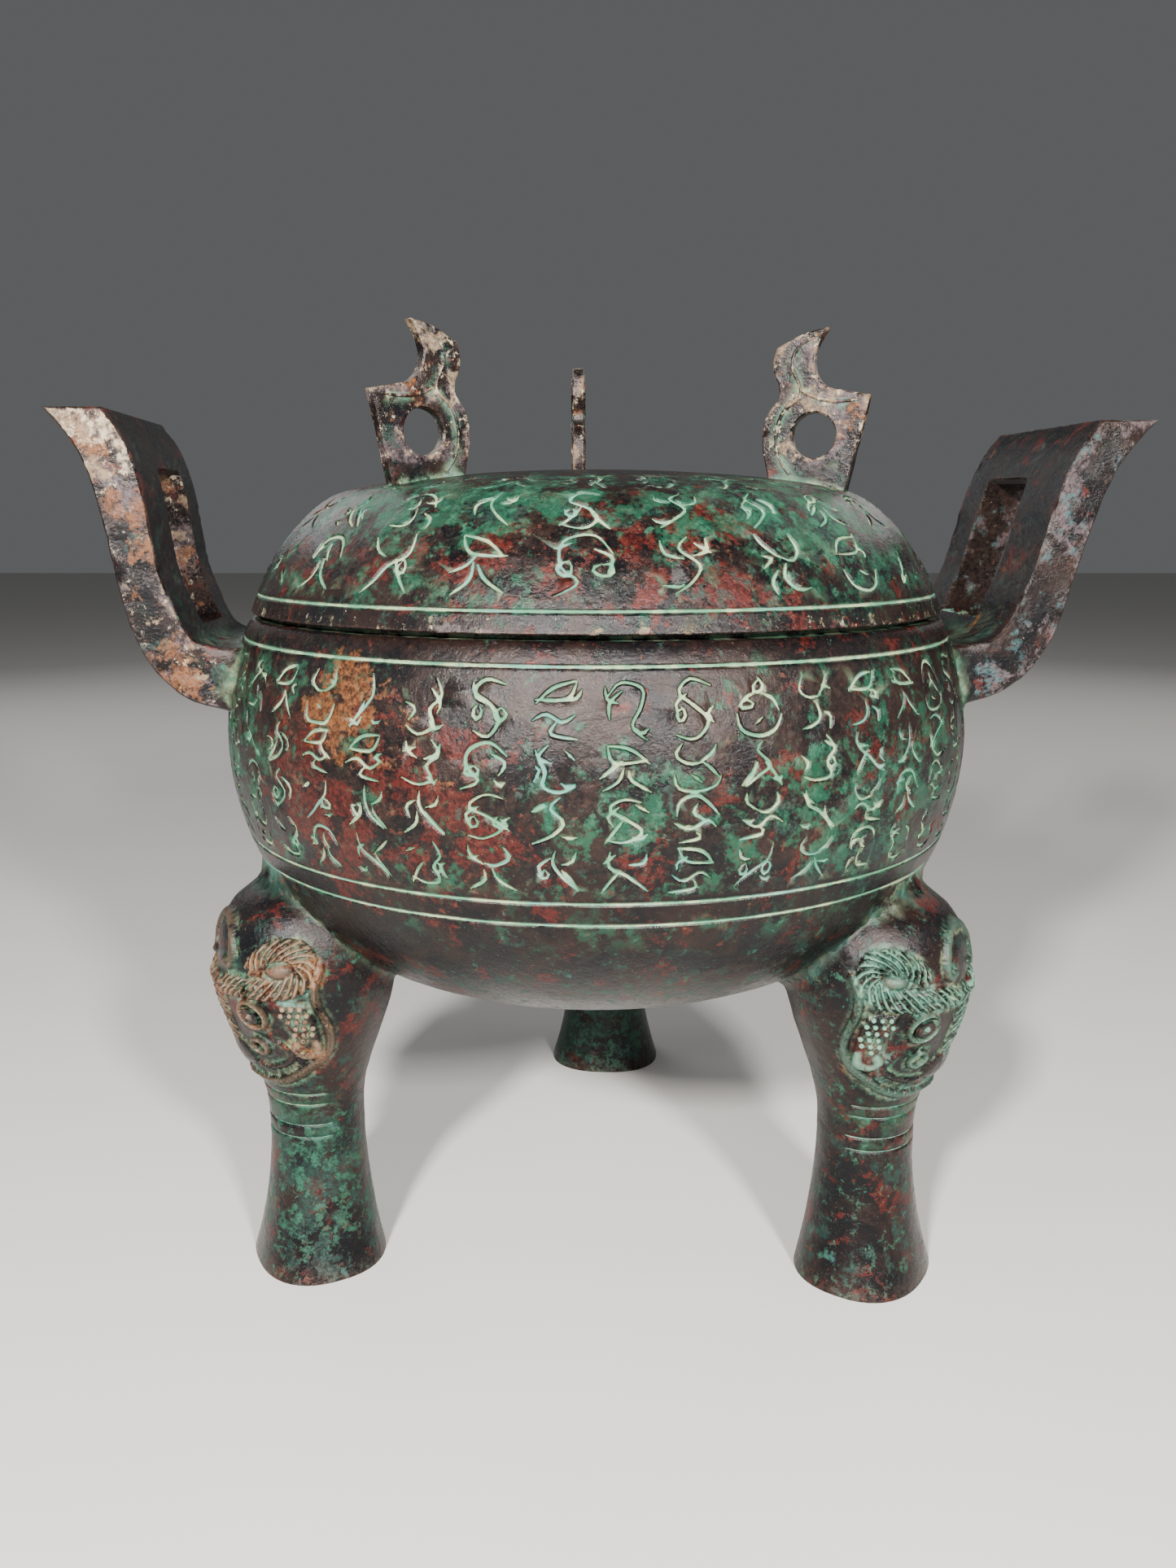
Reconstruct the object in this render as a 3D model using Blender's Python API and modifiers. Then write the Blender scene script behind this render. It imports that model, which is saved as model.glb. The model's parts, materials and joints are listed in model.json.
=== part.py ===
"""Lidded bronze ding: a round bowl on three masked legs, with two slotted ears and a domed lid.

Metres, +Z up, ears along X, soles at z = 0. The bowl's axis stands a little off the origin, so
that the origin is the middle of the plan.
"""

import math

import bmesh
import bpy
from mathutils import Vector
from mathutils.geometry import delaunay_2d_cdt, interpolate_bezier

COLLECTION_NAME = "Bronze ding"
CUTTER_COLLECTION_NAME = "Cutters"

# Bowl: heights count from the soles, radii from the bowl's axis
BOTTOM_HEIGHT = 0.0906
BOWL_DEPTH = 0.1335
BELLY_RADIUS = 0.1313
BELLY_BELOW_SHOULDER = 0.0421
SHOULDER_INSET = 0.0097
BOTTOM_EDGE_BELOW_BELLY = 0.0390
BOTTOM_HAUNCH = 0.044
BOTTOM_FLAT = 0.065
BOWL_WALL = 0.0045
LIP_INSET = 0.0051
LIP_HEIGHT = 0.0066
LIP_WALL = 0.0032
GROOVE_WIDTH = 0.0020
GROOVE_DEPTH = 0.0008
UPPER_GROOVE_BELOW_SHOULDER = 0.0065
LOWER_GROOVE_ABOVE_EDGE = 0.0090
LAST_GROOVE_ABOVE_EDGE = 0.0019
TURNED_STEPS = 48
HOLLOW_STEPS = 36
ARC_PARTS = 7

# Lid: it rests on the lip with its inner ledge
LID_OVERHANG = 0.0002
LID_EDGE_GAP = 0.0016
LID_RISE = 0.0477
LID_BEND_INSET = 0.0287
LID_BEND_RISE = 0.0384
LID_SIDE_HANDLES = ((0.217, 0.520), (0.680, 0.876))
LID_TOP_HANDLES = ((0.927, 0.45), (0.49, 1.0))
LID_WALL = 0.0040
LID_GROOVE_ABOVE_EDGE = 0.0062
LIP_CLEARANCE = 0.0008
SEAT_GAP = 0.0003

# Knobs: upright plates on the lid, each with a ring hole and a flame above it
KNOB_TURNS = (math.radians(97.8), math.radians(217.8), math.radians(337.8))
KNOB_TWISTS = (math.radians(-7.0), 0.0, 0.0)
KNOB_RING_OFFSET = 0.0032
KNOB_RADIUS = 0.0748
KNOB_HEIGHT = 0.0488
KNOB_RING_RISE = 0.0150
KNOB_HOLE_RADIUS = 0.0073
KNOB_THICKNESS = 0.0048
KNOB_ROOT = 0.0020

# Ears: S-curved plates that stand out from the bowl's shoulder, the right one and the left one;
# they were fitted by hand, so each has its own turn, twist, rise, reach and bow
EAR_WIDTH = 0.0763
EAR_TURNS = (0.0, math.radians(185.0))
EAR_TWISTS = (math.radians(7.0), 0.0)
EAR_RISES = (0.0642, 0.0667)
EAR_REACHES = (0.0494, 0.0457)
EAR_BOWS = (-0.0026, 0.0026)
EAR_ROOT_DEPTH = 0.0190
SLOT_WIDTH = 0.0320
SLOT_OFFSET = 0.0050
SLOT_FOOT_BELOW_SHOULDER = 0.0031
SLOT_TOP_BELOW_EAR_TOP = 0.0172
SLOT_CUTTER_OUT = 0.55

# Legs: hoofed below, swelling to a masked knee that grows out of the belly
LEG_COUNT = 3
LEG_TURN = math.radians(-2.7)
LEG_INSET = 0.0206
LEG_TOP_BELOW_EDGE = 0.0005
FOOT_SPLAY = 0.0012
SOLE_DEPTH = 0.0445
SOLE_WIDTH = 0.0505
ANKLE_HEIGHT = 0.0455
ANKLE_DEPTH = 0.0326
ANKLE_WIDTH = 0.0338
CALF_HEIGHT = 0.0546
KNEE_HEIGHT = 0.1118
KNEE_DEPTH = 0.0605
KNEE_WIDTH = 0.0610
SOLE_SQUARENESS = 0.35
FLARE_POWER = 1.6
KNEE_DOME_POWER = 2.3
KNEE_TOP_SHARE = 0.2
LEG_COLUMNS = 20
LEG_ROWS = 11

# Mask: its carving is drawn in shares of MASK_SIZE, from the chin up and out from the nose
MASK_SIZE = 0.0585
MASK_BASE_HEIGHT = 0.0715
FACE_RELIEF = 0.0008
CONTOUR_RELIEF = 0.0012
BROW_RELIEF = 0.0020
BOSS_RELIEF = 0.0026
EYE_RELIEF = 0.0020
CHEEK_RELIEF = 0.0011
NOSE_RELIEF = 0.0016
SNOUT_RELIEF = 0.0022
CREST_RELIEF = 0.0012

CONTOUR_PATH = [(0.0, 0.01), (0.14, 0.01), (0.27, 0.02), (0.39, 0.07), (0.47, 0.12), (0.58, 0.19),
                (0.67, 0.29), (0.71, 0.41), (0.70, 0.56), (0.71, 0.66), (0.74, 0.75)]
BROW_PATH = [(0.13, 0.61), (0.24, 0.63), (0.42, 0.635), (0.55, 0.65), (0.65, 0.71), (0.66, 0.79),
             (0.60, 0.85), (0.51, 0.865), (0.42, 0.83), (0.37, 0.76)]
CREST_PATH = [(0.0, 0.99), (0.09, 0.97), (0.165, 0.89), (0.195, 0.79), (0.175, 0.735), (0.12, 0.75)]
NOSE_PATH = [(0.0, 0.60), (0.0, 0.48), (0.0, 0.36), (0.0, 0.26)]
CHEEK_OUTLINE = [(0.47, 0.555), (0.57, 0.57), (0.655, 0.55), (0.665, 0.44), (0.64, 0.31),
                 (0.57, 0.225), (0.49, 0.20), (0.46, 0.25), (0.50, 0.33), (0.49, 0.45)]
CONTOUR_HALF_WIDTH = 0.032
BROW_HALF_WIDTH = 0.055
CREST_HALF_WIDTH = 0.028
NOSE_HALF_WIDTH = 0.075
BOSS_CENTRE = (0.522, 0.752)
BOSS_SIZE = (0.080, 0.050)
EYE_CENTRE = (0.322, 0.475)
EYE_RADIUS = 0.095
NOSTRIL_CENTRE = (0.262, 0.262)
NOSTRIL_RADIUS = 0.062
SNOUT_CENTRE = (0.0, 0.17)
SNOUT_SIZE = (0.17, 0.12)

SHOULDER_HEIGHT = BOTTOM_HEIGHT + BOWL_DEPTH
SHOULDER_RADIUS = BELLY_RADIUS - SHOULDER_INSET
BELLY_HEIGHT = SHOULDER_HEIGHT - BELLY_BELOW_SHOULDER
EDGE_HEIGHT = BELLY_HEIGHT - BOTTOM_EDGE_BELOW_BELLY
LIP_RADIUS = SHOULDER_RADIUS - LIP_INSET
LIP_TOP_HEIGHT = SHOULDER_HEIGHT + LIP_HEIGHT
MOUTH_RADIUS = LIP_RADIUS - LIP_WALL
LID_RADIUS = SHOULDER_RADIUS - LID_OVERHANG
LID_EDGE_HEIGHT = SHOULDER_HEIGHT + LID_EDGE_GAP
LEDGE_HEIGHT = LIP_TOP_HEIGHT + SEAT_GAP
LEG_RADIUS = BELLY_RADIUS - LEG_INSET
LEG_TOP_HEIGHT = EDGE_HEIGHT - LEG_TOP_BELOW_EDGE
REAR_REACH = (LEG_RADIUS + KNEE_DEPTH / 2 + NOSE_RELIEF) * math.cos(LEG_TURN)
AXIS_Y = (BELLY_RADIUS - REAR_REACH) / 2


def clear_scene():
    """Remove what the scene holds."""
    for item in list(bpy.data.objects):
        bpy.data.objects.remove(item, do_unlink=True)


def make_collection(name):
    """Add a collection to the scene."""
    collection = bpy.data.collections.new(name)
    bpy.context.scene.collection.children.link(collection)
    return collection


def make_bronze(name, colour, roughness, metallic):
    """Add a Principled material for one casting's patina."""
    material = bpy.data.materials.new(name)
    material.use_nodes = True
    shader = material.node_tree.nodes["Principled BSDF"]
    shader.inputs["Base Color"].default_value = (*colour, 1.0)
    shader.inputs["Roughness"].default_value = roughness
    shader.inputs["Metallic"].default_value = metallic
    return material


def add_object(name, data, collection):
    """Link new data into a collection as an object."""
    item = bpy.data.objects.new(name, data)
    collection.objects.link(item)
    return item


def as_guide(item):
    """Keep an object as a shape that others are joined with or cut by."""
    item.hide_render = True
    item.display_type = "WIRE"
    return item


def belly_radius(height):
    """Radius of the belly's barrel at a height between the bottom's edge and the shoulder."""
    bulge = SHOULDER_INSET / BELLY_BELOW_SHOULDER ** 2
    return BELLY_RADIUS - bulge * (height - BELLY_HEIGHT) ** 2


def bezier(points, parts):
    """Points along one cubic curve in the XZ plane."""
    knots = [Vector((x, 0.0, z)) for x, z in points]
    curve = interpolate_bezier(knots[0], knots[1], knots[2], knots[3], parts + 1)
    return [(point.x, point.z) for point in curve]


def bottom_profile(parts):
    """Outer profile of the rounded bottom, from the belly's edge down to the axis."""
    slope = 2 * SHOULDER_INSET / BELLY_BELOW_SHOULDER ** 2 * BOTTOM_EDGE_BELOW_BELLY
    length = math.hypot(slope, 1.0)
    start = (belly_radius(EDGE_HEIGHT), EDGE_HEIGHT)
    haunch = (start[0] - BOTTOM_HAUNCH * slope / length, start[1] - BOTTOM_HAUNCH / length)
    return bezier([start, haunch, (BOTTOM_FLAT, BOTTOM_HEIGHT), (0.0, BOTTOM_HEIGHT)], parts)


def groove(height):
    """Three profile points of a turned groove in the belly, from its upper side down."""
    half = GROOVE_WIDTH / 2
    return [(belly_radius(height + half), height + half),
            (belly_radius(height) - GROOVE_DEPTH, height),
            (belly_radius(height - half), height - half)]


def bowl_profile():
    """Outer profile of the bowl and its lip, from the axis above down to the axis below."""
    grooves = [SHOULDER_HEIGHT - UPPER_GROOVE_BELOW_SHOULDER,
               EDGE_HEIGHT + LOWER_GROOVE_ABOVE_EDGE,
               EDGE_HEIGHT + LAST_GROOVE_ABOVE_EDGE]
    points = [(0.0, LIP_TOP_HEIGHT), (LIP_RADIUS, LIP_TOP_HEIGHT), (LIP_RADIUS, SHOULDER_HEIGHT),
              (SHOULDER_RADIUS, SHOULDER_HEIGHT)]
    points += groove(grooves[0])
    top, foot = grooves[0] - GROOVE_WIDTH, grooves[1] + GROOVE_WIDTH
    for part in range(ARC_PARTS):
        height = top + (foot - top) * (part + 0.5) / ARC_PARTS
        points.append((belly_radius(height), height))
    points += groove(grooves[1])
    points += groove(grooves[2])
    return points + bottom_profile(ARC_PARTS)[1:]


def inset(points, thickness):
    """A profile moved in along its normals by a wall's thickness; it runs outer side down."""
    moved = []
    for index, (radius, height) in enumerate(points):
        before = points[max(index - 1, 0)]
        after = points[min(index + 1, len(points) - 1)]
        along = Vector((after[0] - before[0], after[1] - before[1])).normalized()
        moved.append((max(radius + along.y * thickness, 0.0), height - along.x * thickness))
    return moved


def cavity_profile():
    """Profile of the bowl's hollow, from above the mouth down to the inner bottom."""
    above = LIP_TOP_HEIGHT + LIP_HEIGHT
    neck = SHOULDER_HEIGHT - BOWL_WALL
    hollow_top = neck - (belly_radius(neck) - BOWL_WALL - MOUTH_RADIUS)
    outer = []
    for part in range(ARC_PARTS - 1):
        height = hollow_top + (EDGE_HEIGHT - hollow_top) * part / (ARC_PARTS - 1)
        outer.append((belly_radius(height), height))
    inner = inset(outer + bottom_profile(ARC_PARTS), BOWL_WALL)
    inner[-1] = (0.0, BOTTOM_HEIGHT + BOWL_WALL)
    return [(0.0, above), (MOUTH_RADIUS, above), (MOUTH_RADIUS, neck)] + inner


def turned(name, profile, collection, steps=TURNED_STEPS):
    """A solid turned about Z from a profile that runs from the axis above to the axis below."""
    mesh = bpy.data.meshes.new(name)
    vertices = [(radius, 0.0, height) for radius, height in profile]
    edges = [(index, index + 1) for index in range(len(profile) - 1)]
    mesh.from_pydata(vertices, edges, [])
    item = add_object(name, mesh, collection)
    screw = item.modifiers.new("Turn", "SCREW")
    screw.steps = steps
    screw.render_steps = steps
    screw.use_merge_vertices = True
    screw.merge_threshold = 0.00001
    return item


def flat_outline(name, splines, thickness, collection):
    """A plate with a closed outline; each spline is a list of (x, y, corner)."""
    curve = bpy.data.curves.new(name, "CURVE")
    curve.dimensions = "2D"
    curve.fill_mode = "BOTH"
    curve.extrude = thickness / 2
    curve.resolution_u = 3
    for points in splines:
        spline = curve.splines.new("BEZIER")
        spline.bezier_points.add(len(points) - 1)
        spline.use_cyclic_u = True
        for knot, (x, y, corner) in zip(spline.bezier_points, points):
            knot.co = (x, y, 0.0)
            kind = "VECTOR" if corner else "AUTO"
            knot.handle_left_type = kind
            knot.handle_right_type = kind
    return add_object(name, curve, collection)


def to_mesh(item, collection):
    """Replace a curve object by the closed mesh that it draws."""
    bpy.context.view_layer.update()
    graph = bpy.context.evaluated_depsgraph_get()
    mesh = bpy.data.meshes.new_from_object(item.evaluated_get(graph))
    shape = bmesh.new()
    shape.from_mesh(mesh)
    bmesh.ops.remove_doubles(shape, verts=shape.verts, dist=0.00001)
    bmesh.ops.recalc_face_normals(shape, faces=shape.faces)
    shape.to_mesh(mesh)
    shape.free()
    name = item.name
    matrix = item.matrix_world.copy()
    bpy.data.objects.remove(item, do_unlink=True)
    solid = add_object(name, mesh, collection)
    solid.matrix_world = matrix
    return solid


def ear_outline(rise, reach, bow):
    """Side outline of an ear, X out from the belly's widest circle and Y up from the shoulder."""
    inner = [(0.606, 1.00, True), (0.500, 0.90, False), (0.420, 0.78, False), (0.345, 0.60, False),
             (0.289, 0.39, False), (0.236, 0.22, False), (0.166, 0.09, False), (0.090, -0.035, False),
             (-0.010, -0.110, False)]
    outer = [(0.060, -0.400, False), (0.250, -0.300, False), (0.400, -0.150, False),
             (0.490, 0.030, False), (0.565, 0.27, False), (0.646, 0.52, False),
             (0.765, 0.775, False), (0.875, 0.895, False), (1.00, 1.00, True)]
    points = [(x, y, corner) for x, y, corner in inner]
    points.append((-EAR_ROOT_DEPTH / reach, -0.130, True))
    points.append((-EAR_ROOT_DEPTH / reach, -0.475, True))
    return [(x * reach + bow * (1 - smooth(y)), y * rise, corner) for x, y, corner in points + outer]


def ear_frame(index):
    """Angle in which an ear stands out, and the middle of its root on the belly's widest circle."""
    turn = EAR_TURNS[index]
    return turn + EAR_TWISTS[index], (BELLY_RADIUS * math.cos(turn), BELLY_RADIUS * math.sin(turn))


def ear_end(index):
    """How far along X an ear reaches from the bowl's axis."""
    angle, root = ear_frame(index)
    corner = math.copysign(EAR_WIDTH / 2 * abs(math.sin(angle)), root[0])
    return root[0] + EAR_REACHES[index] * math.cos(angle) + corner


def make_ear(index, collection):
    """One ear: the first stands on the +X side, the second on the -X side."""
    outline = ear_outline(EAR_RISES[index], EAR_REACHES[index], EAR_BOWS[index])
    plate = flat_outline(f"ear_guide_{index + 1}", [outline], EAR_WIDTH, collection)
    angle, root = ear_frame(index)
    plate.rotation_euler = (math.pi / 2, 0.0, angle)
    plate.location = (root[0], root[1], SHOULDER_HEIGHT)
    return as_guide(to_mesh(plate, collection))


def make_slot(index, collection):
    """The cutter of the slot through one ear; the slot stands towards the back of the plate."""
    foot = SHOULDER_HEIGHT - SLOT_FOOT_BELOW_SHOULDER
    top = SHOULDER_HEIGHT + EAR_RISES[index] - SLOT_TOP_BELOW_EAR_TOP
    shape = bmesh.new()
    bmesh.ops.create_cube(shape, size=1.0)
    bmesh.ops.scale(shape, vec=(EAR_REACHES[index], SLOT_WIDTH, top - foot), verts=shape.verts)
    mesh = bpy.data.meshes.new("slot_cutter")
    shape.to_mesh(mesh)
    shape.free()
    cutter = add_object(f"slot_cutter_{index + 1}", mesh, collection)
    angle, root = ear_frame(index)
    out = EAR_REACHES[index] * SLOT_CUTTER_OUT
    back = SLOT_OFFSET if math.cos(angle) > 0 else -SLOT_OFFSET
    cutter.rotation_euler = (0.0, 0.0, angle)
    cutter.location = (root[0] + out * math.cos(angle) - back * math.sin(angle),
                       root[1] + out * math.sin(angle) + back * math.cos(angle), (top + foot) / 2)
    return as_guide(cutter)


def smooth(share):
    """An even S-curve from 0 to 1."""
    share = min(max(share, 0.0), 1.0)
    return share * share * (3 - 2 * share)


def leg_section(height):
    """Centre radius, half depth, half width and corner exponent of a leg at a height."""
    if height < ANKLE_HEIGHT:
        flare = (1 - height / ANKLE_HEIGHT) ** FLARE_POWER
        depth = ANKLE_DEPTH + (SOLE_DEPTH - ANKLE_DEPTH) * flare
        width = ANKLE_WIDTH + (SOLE_WIDTH - ANKLE_WIDTH) * flare
        return LEG_RADIUS + FOOT_SPLAY * flare, depth / 2, width / 2, 2 + SOLE_SQUARENESS * flare
    swell = smooth((height - CALF_HEIGHT) / (KNEE_HEIGHT - CALF_HEIGHT))
    depth = ANKLE_DEPTH + (KNEE_DEPTH - ANKLE_DEPTH) * swell
    width = ANKLE_WIDTH + (KNEE_WIDTH - ANKLE_WIDTH) * swell
    if height > KNEE_HEIGHT:
        share = (height - KNEE_HEIGHT) / (LEG_TOP_HEIGHT - KNEE_HEIGHT)
        dome = math.sqrt(max(1 - share ** KNEE_DOME_POWER, KNEE_TOP_SHARE ** 2))
        depth *= dome
        width *= dome
    return LEG_RADIUS, depth / 2, width / 2, 2.0


def path_distance(u, v, path):
    """Distance from a point to a line of straight stretches."""
    best = math.inf
    for (ax, ay), (bx, by) in zip(path, path[1:]):
        dx, dy = bx - ax, by - ay
        share = ((u - ax) * dx + (v - ay) * dy) / (dx * dx + dy * dy)
        share = min(max(share, 0.0), 1.0)
        best = min(best, math.hypot(u - ax - share * dx, v - ay - share * dy))
    return best


def inside(u, v, outline):
    """Whether a point lies within a closed outline."""
    crossings = 0
    for (ax, ay), (bx, by) in zip(outline, outline[1:] + outline[:1]):
        if (ay > v) != (by > v) and u < ax + (v - ay) / (by - ay) * (bx - ax):
            crossings += 1
    return crossings % 2 == 1


def hump(distance, half_width):
    """Height share of a round ridge at a distance from its middle line."""
    share = distance / half_width
    return math.sqrt(1 - share * share) if share < 1 else 0.0


def oval(u, v, centre, size):
    """Height share of a round boss at a point."""
    share = math.hypot((u - centre[0]) / size[0], (v - centre[1]) / size[1])
    return math.sqrt(1 - share * share) if share < 1 else 0.0


def mask_relief(u, v):
    """Height of the mask's carving at u out from the nose and v up from the chin."""
    u = abs(u)
    face = CONTOUR_PATH + [(0.62, 0.62), (0.0, 0.62)]
    ground = FACE_RELIEF if inside(u, v, face) else 0.0
    eye = math.hypot(u - EYE_CENTRE[0], v - EYE_CENTRE[1]) / EYE_RADIUS
    nostril = math.hypot(u - NOSTRIL_CENTRE[0], v - NOSTRIL_CENTRE[1]) / NOSTRIL_RADIUS
    heights = [
        CONTOUR_RELIEF * hump(path_distance(u, v, CONTOUR_PATH), CONTOUR_HALF_WIDTH),
        BROW_RELIEF * hump(path_distance(u, v, BROW_PATH), BROW_HALF_WIDTH),
        CREST_RELIEF * hump(path_distance(u, v, CREST_PATH), CREST_HALF_WIDTH),
        NOSE_RELIEF * hump(path_distance(u, v, NOSE_PATH), NOSE_HALF_WIDTH),
        BOSS_RELIEF * oval(u, v, BOSS_CENTRE, BOSS_SIZE),
        SNOUT_RELIEF * oval(u, v, SNOUT_CENTRE, SNOUT_SIZE),
        CHEEK_RELIEF if inside(u, v, CHEEK_OUTLINE) else 0.0,
        EYE_RELIEF * hump(abs(eye - 0.72), 0.28),
        EYE_RELIEF * 1.1 * hump(eye, 0.42),
        EYE_RELIEF * 0.7 * hump(abs(nostril - 0.70), 0.30),
    ]
    return ground + max(heights)


def offset_path(path, distance):
    """A line beside a path, at a distance to its left."""
    moved = []
    for index, (x, y) in enumerate(path):
        before = path[max(index - 1, 0)]
        after = path[min(index + 1, len(path) - 1)]
        along = Vector((after[0] - before[0], after[1] - before[1])).normalized()
        moved.append((x - along.y * distance, y + along.x * distance))
    return moved


def circle(centre, size, count):
    """A closed line of points round an oval."""
    turns = [2 * math.pi * index / count for index in range(count + 1)]
    return [(centre[0] + size[0] * math.cos(turn), centre[1] + size[1] * math.sin(turn))
            for turn in turns]


def mask_lines():
    """The lines on one half of the mask where its carving changes slope."""
    lines = []
    ridges = [(CONTOUR_PATH, CONTOUR_HALF_WIDTH), (BROW_PATH, BROW_HALF_WIDTH),
              (CREST_PATH, CREST_HALF_WIDTH)]
    for path, half_width in ridges:
        lines.append(path)
        lines.append(offset_path(path, half_width))
        lines.append(offset_path(path, -half_width))
    lines.append(NOSE_PATH)
    lines.append(offset_path(NOSE_PATH, NOSE_HALF_WIDTH))
    lines.append(circle(BOSS_CENTRE, BOSS_SIZE, 8))
    lines.append(circle(BOSS_CENTRE, (BOSS_SIZE[0] / 2, BOSS_SIZE[1] / 2), 4))
    for share, count in ((1.0, 10), (0.72, 10), (0.44, 6)):
        lines.append(circle(EYE_CENTRE, (EYE_RADIUS * share, EYE_RADIUS * share), count))
    for share, count in ((1.0, 8), (0.70, 6)):
        lines.append(circle(NOSTRIL_CENTRE, (NOSTRIL_RADIUS * share, NOSTRIL_RADIUS * share), count))
    lines.append(CHEEK_OUTLINE + CHEEK_OUTLINE[:1])
    lines.append(circle(SNOUT_CENTRE, SNOUT_SIZE, 10)[:4])
    return lines


def leg_point(around, height):
    """A point on a leg's carved surface; around is an arc from its front at the knee's size."""
    centre, half_depth, half_width, power = leg_section(height)
    angle = around / (KNEE_WIDTH / 2)
    across = abs(math.cos(angle) / half_depth) ** power
    along = abs(math.sin(angle) / half_width) ** power
    radius = (across + along) ** (-1 / power)
    u = angle * half_width / MASK_SIZE
    radius += mask_relief(u, (height - MASK_BASE_HEIGHT) / MASK_SIZE)
    return (centre + radius * math.cos(angle), radius * math.sin(angle), height)


def unrolled(u, v):
    """Place a point of the mask's drawing on the leg's unrolled surface."""
    height = MASK_BASE_HEIGHT + v * MASK_SIZE
    half_width = leg_section(height)[2]
    return (u * MASK_SIZE / half_width * KNEE_WIDTH / 2, height)


def leg_mesh(name):
    """A leg in its own place at +X: its unrolled surface is triangulated, carved and rolled up."""
    half_turn = math.pi * KNEE_WIDTH / 2
    points = []
    edges = []
    for row in range(LEG_ROWS + 1):
        height = LEG_TOP_HEIGHT * row / LEG_ROWS
        for column in range(LEG_COLUMNS + 1):
            points.append(Vector((half_turn * (2 * column / LEG_COLUMNS - 1), height)))
    for line in mask_lines():
        for side in (-1, 1):
            start = len(points)
            for u, v in line:
                points.append(Vector(unrolled(side * u, v)))
            edges += [(index, index + 1) for index in range(start, len(points) - 1)]
    flat, _, faces, _, _, _ = delaunay_2d_cdt(points, edges, [], 0, 0.0004)
    shape = bmesh.new()
    rolled = [shape.verts.new(leg_point(point.x, point.y)) for point in flat]
    for face in faces:
        shape.faces.new([rolled[index] for index in face])
    bmesh.ops.remove_doubles(shape, verts=shape.verts, dist=0.00002)
    bmesh.ops.holes_fill(shape, edges=[edge for edge in shape.edges if edge.is_boundary])
    bmesh.ops.recalc_face_normals(shape, faces=shape.faces)
    mesh = bpy.data.meshes.new(name)
    shape.to_mesh(mesh)
    shape.free()
    return mesh


def make_legs(collection):
    """The three legs as guides, which share one mesh."""
    mesh = leg_mesh("leg_guide")
    for index in range(LEG_COUNT):
        leg = add_object(f"leg_guide_{index + 1}", mesh, collection)
        leg.rotation_euler = (0.0, 0.0, math.pi / 2 + LEG_TURN + 2 * math.pi * index / LEG_COUNT)
        as_guide(leg)


def combine(item, label, operation, collection):
    """Join a solid with every shape in a collection, or cut it by them."""
    boolean = item.modifiers.new(label, "BOOLEAN")
    boolean.operation = operation
    boolean.solver = "EXACT"
    boolean.operand_type = "COLLECTION"
    boolean.collection = collection


def make_vessel(parts, cutters):
    """The bowl with its lip, ears and legs, hollow and open at the mouth."""
    limbs = bpy.data.collections.new("Vessel limbs")
    hollows = bpy.data.collections.new("Vessel hollows")
    cutters.children.link(limbs)
    cutters.children.link(hollows)
    vessel = turned("vessel", bowl_profile(), parts)
    make_legs(limbs)
    for index in range(len(EAR_TURNS)):
        make_ear(index, limbs)
        make_slot(index, hollows)
    as_guide(turned("cavity_cutter", cavity_profile(), hollows, HOLLOW_STEPS))
    combine(vessel, "Join limbs", "UNION", limbs)
    combine(vessel, "Hollow out", "DIFFERENCE", hollows)
    return vessel


def lid_curve(parts):
    """Outer profile of the dome, from the axis down to the lid's lower edge."""
    crown = LID_EDGE_HEIGHT + LID_RISE
    bend = (LID_RADIUS - LID_BEND_INSET, LID_EDGE_HEIGHT + LID_BEND_RISE)
    side = [(LID_RADIUS - across * LID_BEND_INSET, LID_EDGE_HEIGHT + up * LID_BEND_RISE)
            for across, up in LID_SIDE_HANDLES]
    top = [(across * bend[0], bend[1] + up * (crown - bend[1])) for across, up in LID_TOP_HANDLES]
    lower = bezier([(LID_RADIUS, LID_EDGE_HEIGHT)] + side + [bend], parts)
    upper = bezier([bend] + top + [(0.0, crown)], parts)
    return (lower + upper[1:])[::-1]


def height_on(profile, radius):
    """Height of a profile that falls outwards, at a radius."""
    for (r0, z0), (r1, z1) in zip(profile, profile[1:]):
        if r0 <= radius <= r1:
            return z0 + (z1 - z0) * (radius - r0) / (r1 - r0)
    return profile[-1][1]


def radius_on(profile, height):
    """Radius of a profile that falls outwards, at a height."""
    for (r0, z0), (r1, z1) in zip(profile, profile[1:]):
        if z1 <= height < z0:
            return r0 + (r1 - r0) * (z0 - height) / (z0 - z1)
    return profile[-1][0]


def lid_profile():
    """Closed profile of the dome, its skirt and its inner ledge."""
    dome = lid_curve(ARC_PARTS - 1)
    line_height = LID_EDGE_HEIGHT + LID_GROOVE_ABOVE_EDGE
    half = GROOVE_WIDTH / 2
    outer = [point for point in dome if point[1] > line_height + half]
    outer.append((radius_on(dome, line_height + half), line_height + half))
    outer.append((radius_on(dome, line_height) - GROOVE_DEPTH, line_height))
    outer.append((radius_on(dome, line_height - half), line_height - half))
    outer.append((LID_RADIUS, LID_EDGE_HEIGHT))
    return outer


def lid_hollow_profile():
    """Profile of the hollow under the lid, with the ledge that rests on the bowl's lip."""
    skirt = LIP_RADIUS + LIP_CLEARANCE
    ledge = MOUTH_RADIUS - LIP_CLEARANCE
    below = LID_EDGE_HEIGHT - LIP_HEIGHT
    roof = [point for point in inset(lid_curve(ARC_PARTS - 1), LID_WALL)
            if point[0] < ledge and point[1] > LEDGE_HEIGHT]
    roof[0] = (0.0, LID_EDGE_HEIGHT + LID_RISE - LID_WALL)
    return roof + [(ledge, LEDGE_HEIGHT), (skirt, LEDGE_HEIGHT), (skirt, below), (0.0, below)]


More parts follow.
